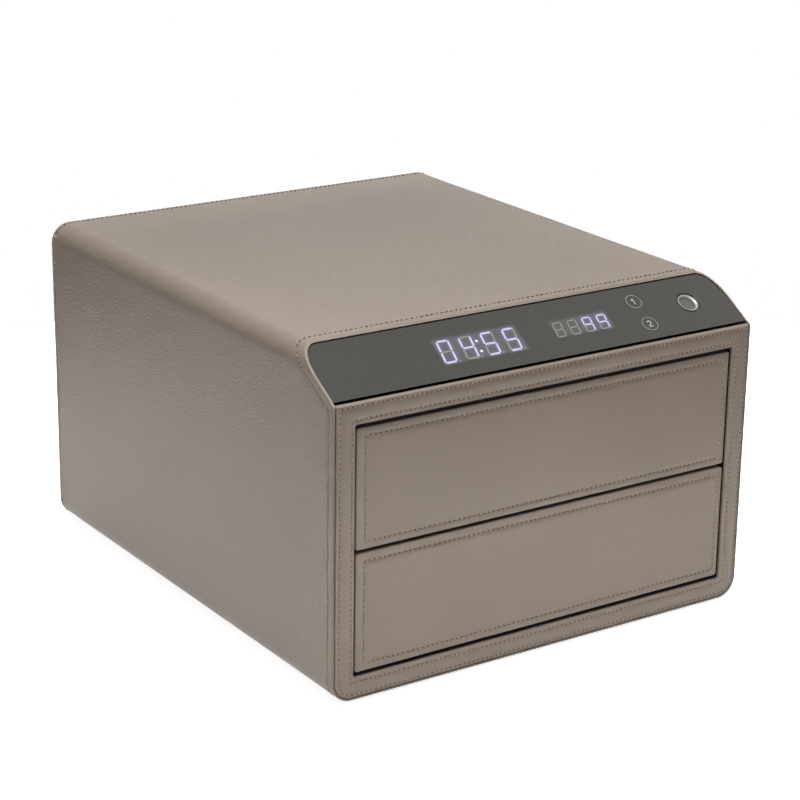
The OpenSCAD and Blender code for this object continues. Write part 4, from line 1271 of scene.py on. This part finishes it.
def build_glass(sensor):
    """The glass: it follows the wrap's edge, its rim is bevelled and it is stepped round the sensor."""
    foot_v = 3.6
    side_gap = 0.15
    top_gap = 0.2
    corner_steps = 14
    crease = 12
    shoulder = CASE_Z1 - CORNER_R
    side = CASE_HALF_W - CORNER_R

    def outline(inset):
        reach = CORNER_R - SKIVED_SIDE - side_gap - inset
        rise = CORNER_R - SKIVED_TOP - top_gap - inset
        points = [(side + reach, foot_v + inset)]
        for i in range(corner_steps + 1):
            angle = math.radians(90 * i / corner_steps)
            z = shoulder + rise * math.sin(angle)
            points.append((side + reach * math.cos(angle), (z - SLANT_Z) / math.sin(SLANT)))
        return points + [(-x, v) for x, v in reversed(points)]

    skin = Skin()
    rings = []
    for inset, d in ((0.22, 0.0), (0.07, -0.07), (0.0, -0.25), (0.0, -1.2), (1.6, -3.0)):
        rings.append(skin.ring([on_slant(x, v, GLASS_TOP + d) for x, v in outline(inset)]))
    skin.bands(rings)
    skin.caps(rings[0], rings[-1])
    glass = skin.piece("panel", panel_glass, crease)
    step = ((0.0, 1.0), (7.6, 1.0), (7.6, -0.4), (7.47, -0.48), (7.2, -1.0), (6.5, -1.05),
            (6.5, -5.0), (0.0, -5.0))
    cut_away(glass, turned("sensor_step", step, sensor, panel_glass))
    # Side faces of the rim and the sensor hole take the black edge paint as painted shade, except the
    # polished faces 7 to 9 mm from the sensor's middle
    glass.data.materials.append(glass_edge_shade)
    middle = Vector(on_slant(*sensor, 0.0)) * MM
    hole_reach = 7.0
    step_reach = 9.0
    for face in glass.data.polygons:
        apart = (face.center - middle).length / MM
        polished = hole_reach <= apart <= step_reach
        if face.normal.dot(OUT_OF_SLANT) < 0.5 and not polished:
            face.material_index = 1
    smooth(glass.data, crease)
    fit(glass, "case", "panel_glass", "glass_panel")


def turned(name, profile, middle, material, crease=30):
    """A turned piece standing on the slant, from (radius, height) pairs.

    The profile is a closed loop, unless it starts and ends on the axis."""
    skin = Skin()
    rings = []
    for radius, d in profile:
        if radius > 0:
            rings.append(skin.ring([on_slant(x, v, d) for x, v in round_outline(middle, radius, 72)]))
    hollow = profile[0][0] > 0
    skin.bands(rings, closed=hollow)
    if not hollow:
        skin.caps(rings[0], rings[-1])
    return skin.piece(name, material, crease)


def build_panel():
    """Glass with its displays and printed keys, and the fingerprint sensor in its ring."""
    sensor = (110.35, 24.1)
    build_glass(sensor)
    band = ((6.25, -3.4), (6.25, -0.62), (6.18, -0.5), (6.0, -0.46), (5.7, -0.52), (4.7, -1.12),
            (4.58, -1.3), (4.58, -3.4))
    fit(turned("sensor_ring", band, sensor, bright_chrome), "case", "bright_ring", "fingerprint_ring")
    window = ((0.0, -1.5), (4.25, -1.5), (4.42, -1.6), (4.42, -2.4), (0.0, -2.4))
    fit(turned("sensor_window", window, sensor, sensor_gloss), "case", "sensor_face")
    build_display("clock", "0455", middle=(-35.3, 22.7), size=(56.0, 19.3), digit=(8.3, 16.1), pitch=14.24,
                  first=(-62.7, 14.1), bar=1.2, lean=2.4, dots=True, colon=((-36.07, 25.5), (-37.1, 18.2)))
    build_display("counter", "  99", middle=(33.4, 23.4), size=(40.4, 13.7), digit=(6.4, 10.8), pitch=10.1,
                  first=(13.5, 16.9), bar=0.95, lean=1.7, dots=False, colon=())
    build_touch_key("1", 76.15, 32.0)
    build_touch_key("2", 76.15, 14.6)


# Drawers

def build_drawer_box(level):
    """Walls, lining and dividers with eased edges."""
    for part, ease, material, slot in (
        ("box_walls", 0.8, drawer_board, "drawer_board"),
        ("wall_lining", 0.35, lining_suede, "suede"),
        ("dividers", 0.5, lining_suede, "suede"),
    ):
        node = level + "_" + part
        if node in nodes:
            fit(eased_copy(node, ease, material), level + "_drawer", slot, node)


def build_floor_pad(level, cells):
    """The suede pad on a drawer's floor: it swells in each compartment and is pinched under the dividers."""
    low, high = cad_box(level + "_floor_pad")
    thick = high[2] - low[2]
    rise_inside = 0.75
    swell_reach = 3.5

    def swell(x, y):
        best = 0.0
        for x0, x1, y0, y1 in cells:
            if x0 < x < x1 and y0 < y < y1:
                inside = min(x - x0, x1 - x, y - y0, y1 - y)
                best = max(best, 1 - math.exp(-inside / swell_reach))
        return best

    def place(x, y, rise):
        if rise >= thick:
            rise = thick - rise_inside * (1 - swell(x, y)) - ripple((x, y, 0.0), 19.0, 0.12)
        return (x, y, low[2] + rise)

    profile = [(0.6, 0.0), (0.0, 0.6), (0.0, thick - 1.6), (0.35, thick - 1.0), (1.0, thick)]
    piece = padded_plate(level + "_floor_cushion", low[0], high[0], low[1], high[1], 2.0, profile,
                         (108, 128, 4), place, lining_suede)
    fit(piece, level + "_drawer", "suede", level + "_floor_pad")


def build_ring_rolls():
    """Soft suede rolls in a row; a ring is held in the slit between two of them."""
    low, high = cad_box("upper_ring_rolls")
    count = 6
    end_r = 4.0
    end_steps = 7
    slit = 0.12
    narrowing = 0.55
    lowering = 0.9
    crown_r = 5.6
    foot_r = 0.8
    pitch = (high[1] - low[1]) / count
    tall = high[2] - low[2]
    stations = [1 - math.cos(math.pi / 2 * i / end_steps) for i in range(end_steps + 1)]
    left = [low[0] + end_r * step for step in stations]
    right = [high[0] - end_r * step for step in reversed(stations)]
    skin = Skin()
    for roll in range(count):
        y0 = low[1] + pitch * roll
        sections = []
        for x in left + even(left[-1], right[0], 60) + right:
            inset = min(x - low[0], high[0] - x, end_r)
            squeeze = end_r - math.sqrt(max(end_r ** 2 - (end_r - inset) ** 2, 0.0))
            half = pitch / 2 - slit - narrowing * squeeze
            height = tall - lowering * squeeze - ripple((x, y0 * 3, 5.0), 24.0, 0.35)
            crown = min(half, crown_r)
            loop = rounded_loop(y0 + pitch / 2 - half, y0 + pitch / 2 + half, low[2], low[2] + height,
                                (foot_r, crown, crown, foot_r), (5, 8, 8))
            sections.append(skin.ring([(x, y, z) for y, z, _, _ in loop]))
        skin.bands(sections)
        skin.caps(sections[0], sections[-1])
    piece = skin.piece("ring_roll_cushions", roll_suede, 60)
    fit(piece, "upper_drawer", "suede", "upper_ring_rolls")


# Studio

def lay_floor():
    """A white table that keeps the safe's shadow, shows as plain white beyond it and is clear from below."""
    bpy.ops.mesh.primitive_plane_add(size=1.1, location=(0.0, 0.0, -0.0001))
    floor = bpy.context.object
    floor.name = "studio_floor"
    material = bpy.data.materials.new("studio floor")
    material.use_nodes = True
    tree = material.node_tree
    bench = Bench(tree)
    shader = tree.nodes["Principled BSDF"]
    grain = bench.noise(bench.place(), 30.0, 3.0)
    bench.feed(shader.inputs["Base Color"], bench.mix(grain, shaded(WHITE, 0.84), shaded(WHITE, 0.86)))
    shader.inputs["Roughness"].default_value = 0.9
    shader.inputs["Specular IOR Level"].default_value = 0.1
    seen, mirrored, through = bench.ray_kinds()
    share = seen * 0.88 + mirrored * 0.6 + through * 0.6
    white = bench.node("ShaderNodeEmission", None, {"Color": WHITE, "Strength": share})
    both = bench.node("ShaderNodeAddShader", None, {0: Wire(bench, shader.outputs[0]), 1: white})
    below = bench.node("ShaderNodeNewGeometry", output="Backfacing")
    clear = bench.node("ShaderNodeBsdfTransparent")
    both = bench.node("ShaderNodeMixShader", None, {0: below, 1: both, 2: clear})
    bench.feed(tree.nodes["Material Output"].inputs["Surface"], both)
    floor.data.materials.append(material)


def light_studio():
    """A white room: even light from above, two soft boxes and a strip over each side of the table."""
    world = bpy.data.worlds.new("studio")
    bpy.context.scene.world = world
    world.use_nodes = True
    tree = world.node_tree
    tree.nodes.clear()
    bench = Bench(tree)
    seen, mirrored, through = bench.ray_kinds()
    direction = bench.node("ShaderNodeTexCoord", output="Generated")
    height = bench.node("ShaderNodeSeparateXYZ", None, {0: direction}, "Z")
    lift = bench.spread(height, 0.05, 0.45)
    room = bench.node("ShaderNodeBackground", None, {"Color": WHITE, "Strength": 0.05 + lift * 0.14})
    sheen = bench.node("ShaderNodeBackground", None, {"Color": WHITE, "Strength": 0.15 + lift * 0.85})
    plain = bench.node("ShaderNodeBackground", None, {"Color": WHITE, "Strength": 1.0})
    lit = bench.node("ShaderNodeMixShader", None, {0: mirrored, 1: room, 2: sheen})
    both = bench.node("ShaderNodeMixShader", None, {0: seen + through, 1: lit, 2: plain})
    leave = tree.nodes.new("ShaderNodeOutputWorld")
    tree.links.new(both.socket, leave.inputs["Surface"])
    for name, place, aim, size, power, spread in (
        ("overhead softbox", (-0.12, -0.26, 0.8), (-0.12, -0.26, 0.0), 0.4, 3.5, 180),
        ("back softbox", (0.75, 1.15, 1.0), (0.0, 0.0, 0.1), 0.7, 1.5, 180),
        ("left strip", (-0.42, 0.0, 1.0), (-0.42, 0.0, 0.0), 0.4, 0.6, 25),
        ("front strip", (0.0, -0.44, 1.0), (0.0, -0.44, 0.0), 0.4, 0.8, 25),
        ("right strip", (0.42, 0.0, 1.0), (0.42, 0.0, 0.0), 0.4, 1.1, 25),
        ("rear strip", (0.0, 0.44, 1.0), (0.0, 0.44, 0.0), 0.4, 1.1, 25),
    ):
        light = bpy.data.lights.new(name, "AREA")
        light.shape = "SQUARE"
        light.size = size
        light.energy = power
        light.spread = math.radians(spread)
        lamp = bpy.data.objects.new(name, light)
        lamp.location = place
        lamp.rotation_euler = (Vector(aim) - Vector(place)).to_track_quat("-Z", "Y").to_euler()
        bpy.context.scene.collection.objects.link(lamp)


def set_camera():
    """The camera of the photograph."""
    stand = (-0.74818, -1.11837, 0.55983)
    yaw, pitch, roll = 0.59537, 0.3283, 0.01493
    ahead = Vector((math.sin(yaw) * math.cos(pitch), math.cos(yaw) * math.cos(pitch), -math.sin(pitch)))
    level = Vector((math.cos(yaw), -math.sin(yaw), 0.0))
    upward = level.cross(ahead)
    right = math.cos(roll) * level + math.sin(roll) * upward
    up = -math.sin(roll) * level + math.cos(roll) * upward
    lens = bpy.data.cameras.new("camera")
    lens.lens = 106.85
    lens.sensor_width = 36.0
    lens.clip_start = 0.05
    lens.clip_end = 60.0
    camera = bpy.data.objects.new("camera", lens)
    turn = Matrix((right, up, -ahead)).transposed().to_4x4()
    camera.matrix_world = Matrix.Translation(stand) @ turn
    bpy.context.scene.collection.objects.link(camera)
    bpy.context.scene.camera = camera


# Putting it together

stitches = stitch_tree()
top_seams, side_seams = build_case_wrap()
shaded_top_colours = (shaded_top_thread, top_needle_hole_shade)
seam_colours = (highlighted_seam_thread, needle_hole_shade)
sew("wrap_top_stitches", "case", stitches, top_seams, SEAM_PITCH, shaded_top_colours, False, (1.9, 0.78, 0.4))
sew("wrap_side_stitches", "case", stitches, side_seams, SEAM_PITCH, seam_colours, False)
sew("facing_stitches", "case", stitches, build_facing(), FACING_PITCH, seam_colours)
build_back_cover()
for level in ("upper", "lower"):
    seams = build_drawer_front(level)
    sew(level + "_front_stitches", level + "_drawer", stitches, seams, SEAM_PITCH, seam_colours)
    build_drawer_box(level)
build_panel()
# The compartments between the walls and the dividers, each with its limits in x and in y
build_floor_pad("upper", [
    (-107.1, 107.1, -147.6, -69.6),
    (-107.1, -39.7, -63.6, 2.4),
    (-33.7, 33.7, -63.6, 2.4),
    (39.7, 107.1, -63.6, 2.4),
    (-107.1, -3.0, 8.4, 109.1),
    (3.0, 107.1, 8.4, 109.1),
])
build_floor_pad("lower", [
    (-107.1, -3.0, -147.6, -25.6),
    (3.0, 107.1, -147.6, -25.6),
    (-107.1, 107.1, -19.6, 109.1),
])
build_ring_rolls()
drive_rail_screws()
fit(eased_copy("feet", 0.5, foot_rubber), "case", "foot_rubber", "feet")
fit(eased_copy("key_lock_barrel", 0.5, nickel, 3), "case", "lock_metal", "key_lock_barrel")
fit(eased_copy("key_lock_plug", 0.25, nickel), "key_plug", "lock_metal", "key_lock_plug")
lay_floor()
light_studio()
set_camera()
bpy.context.scene.view_settings.view_transform = "Standard"
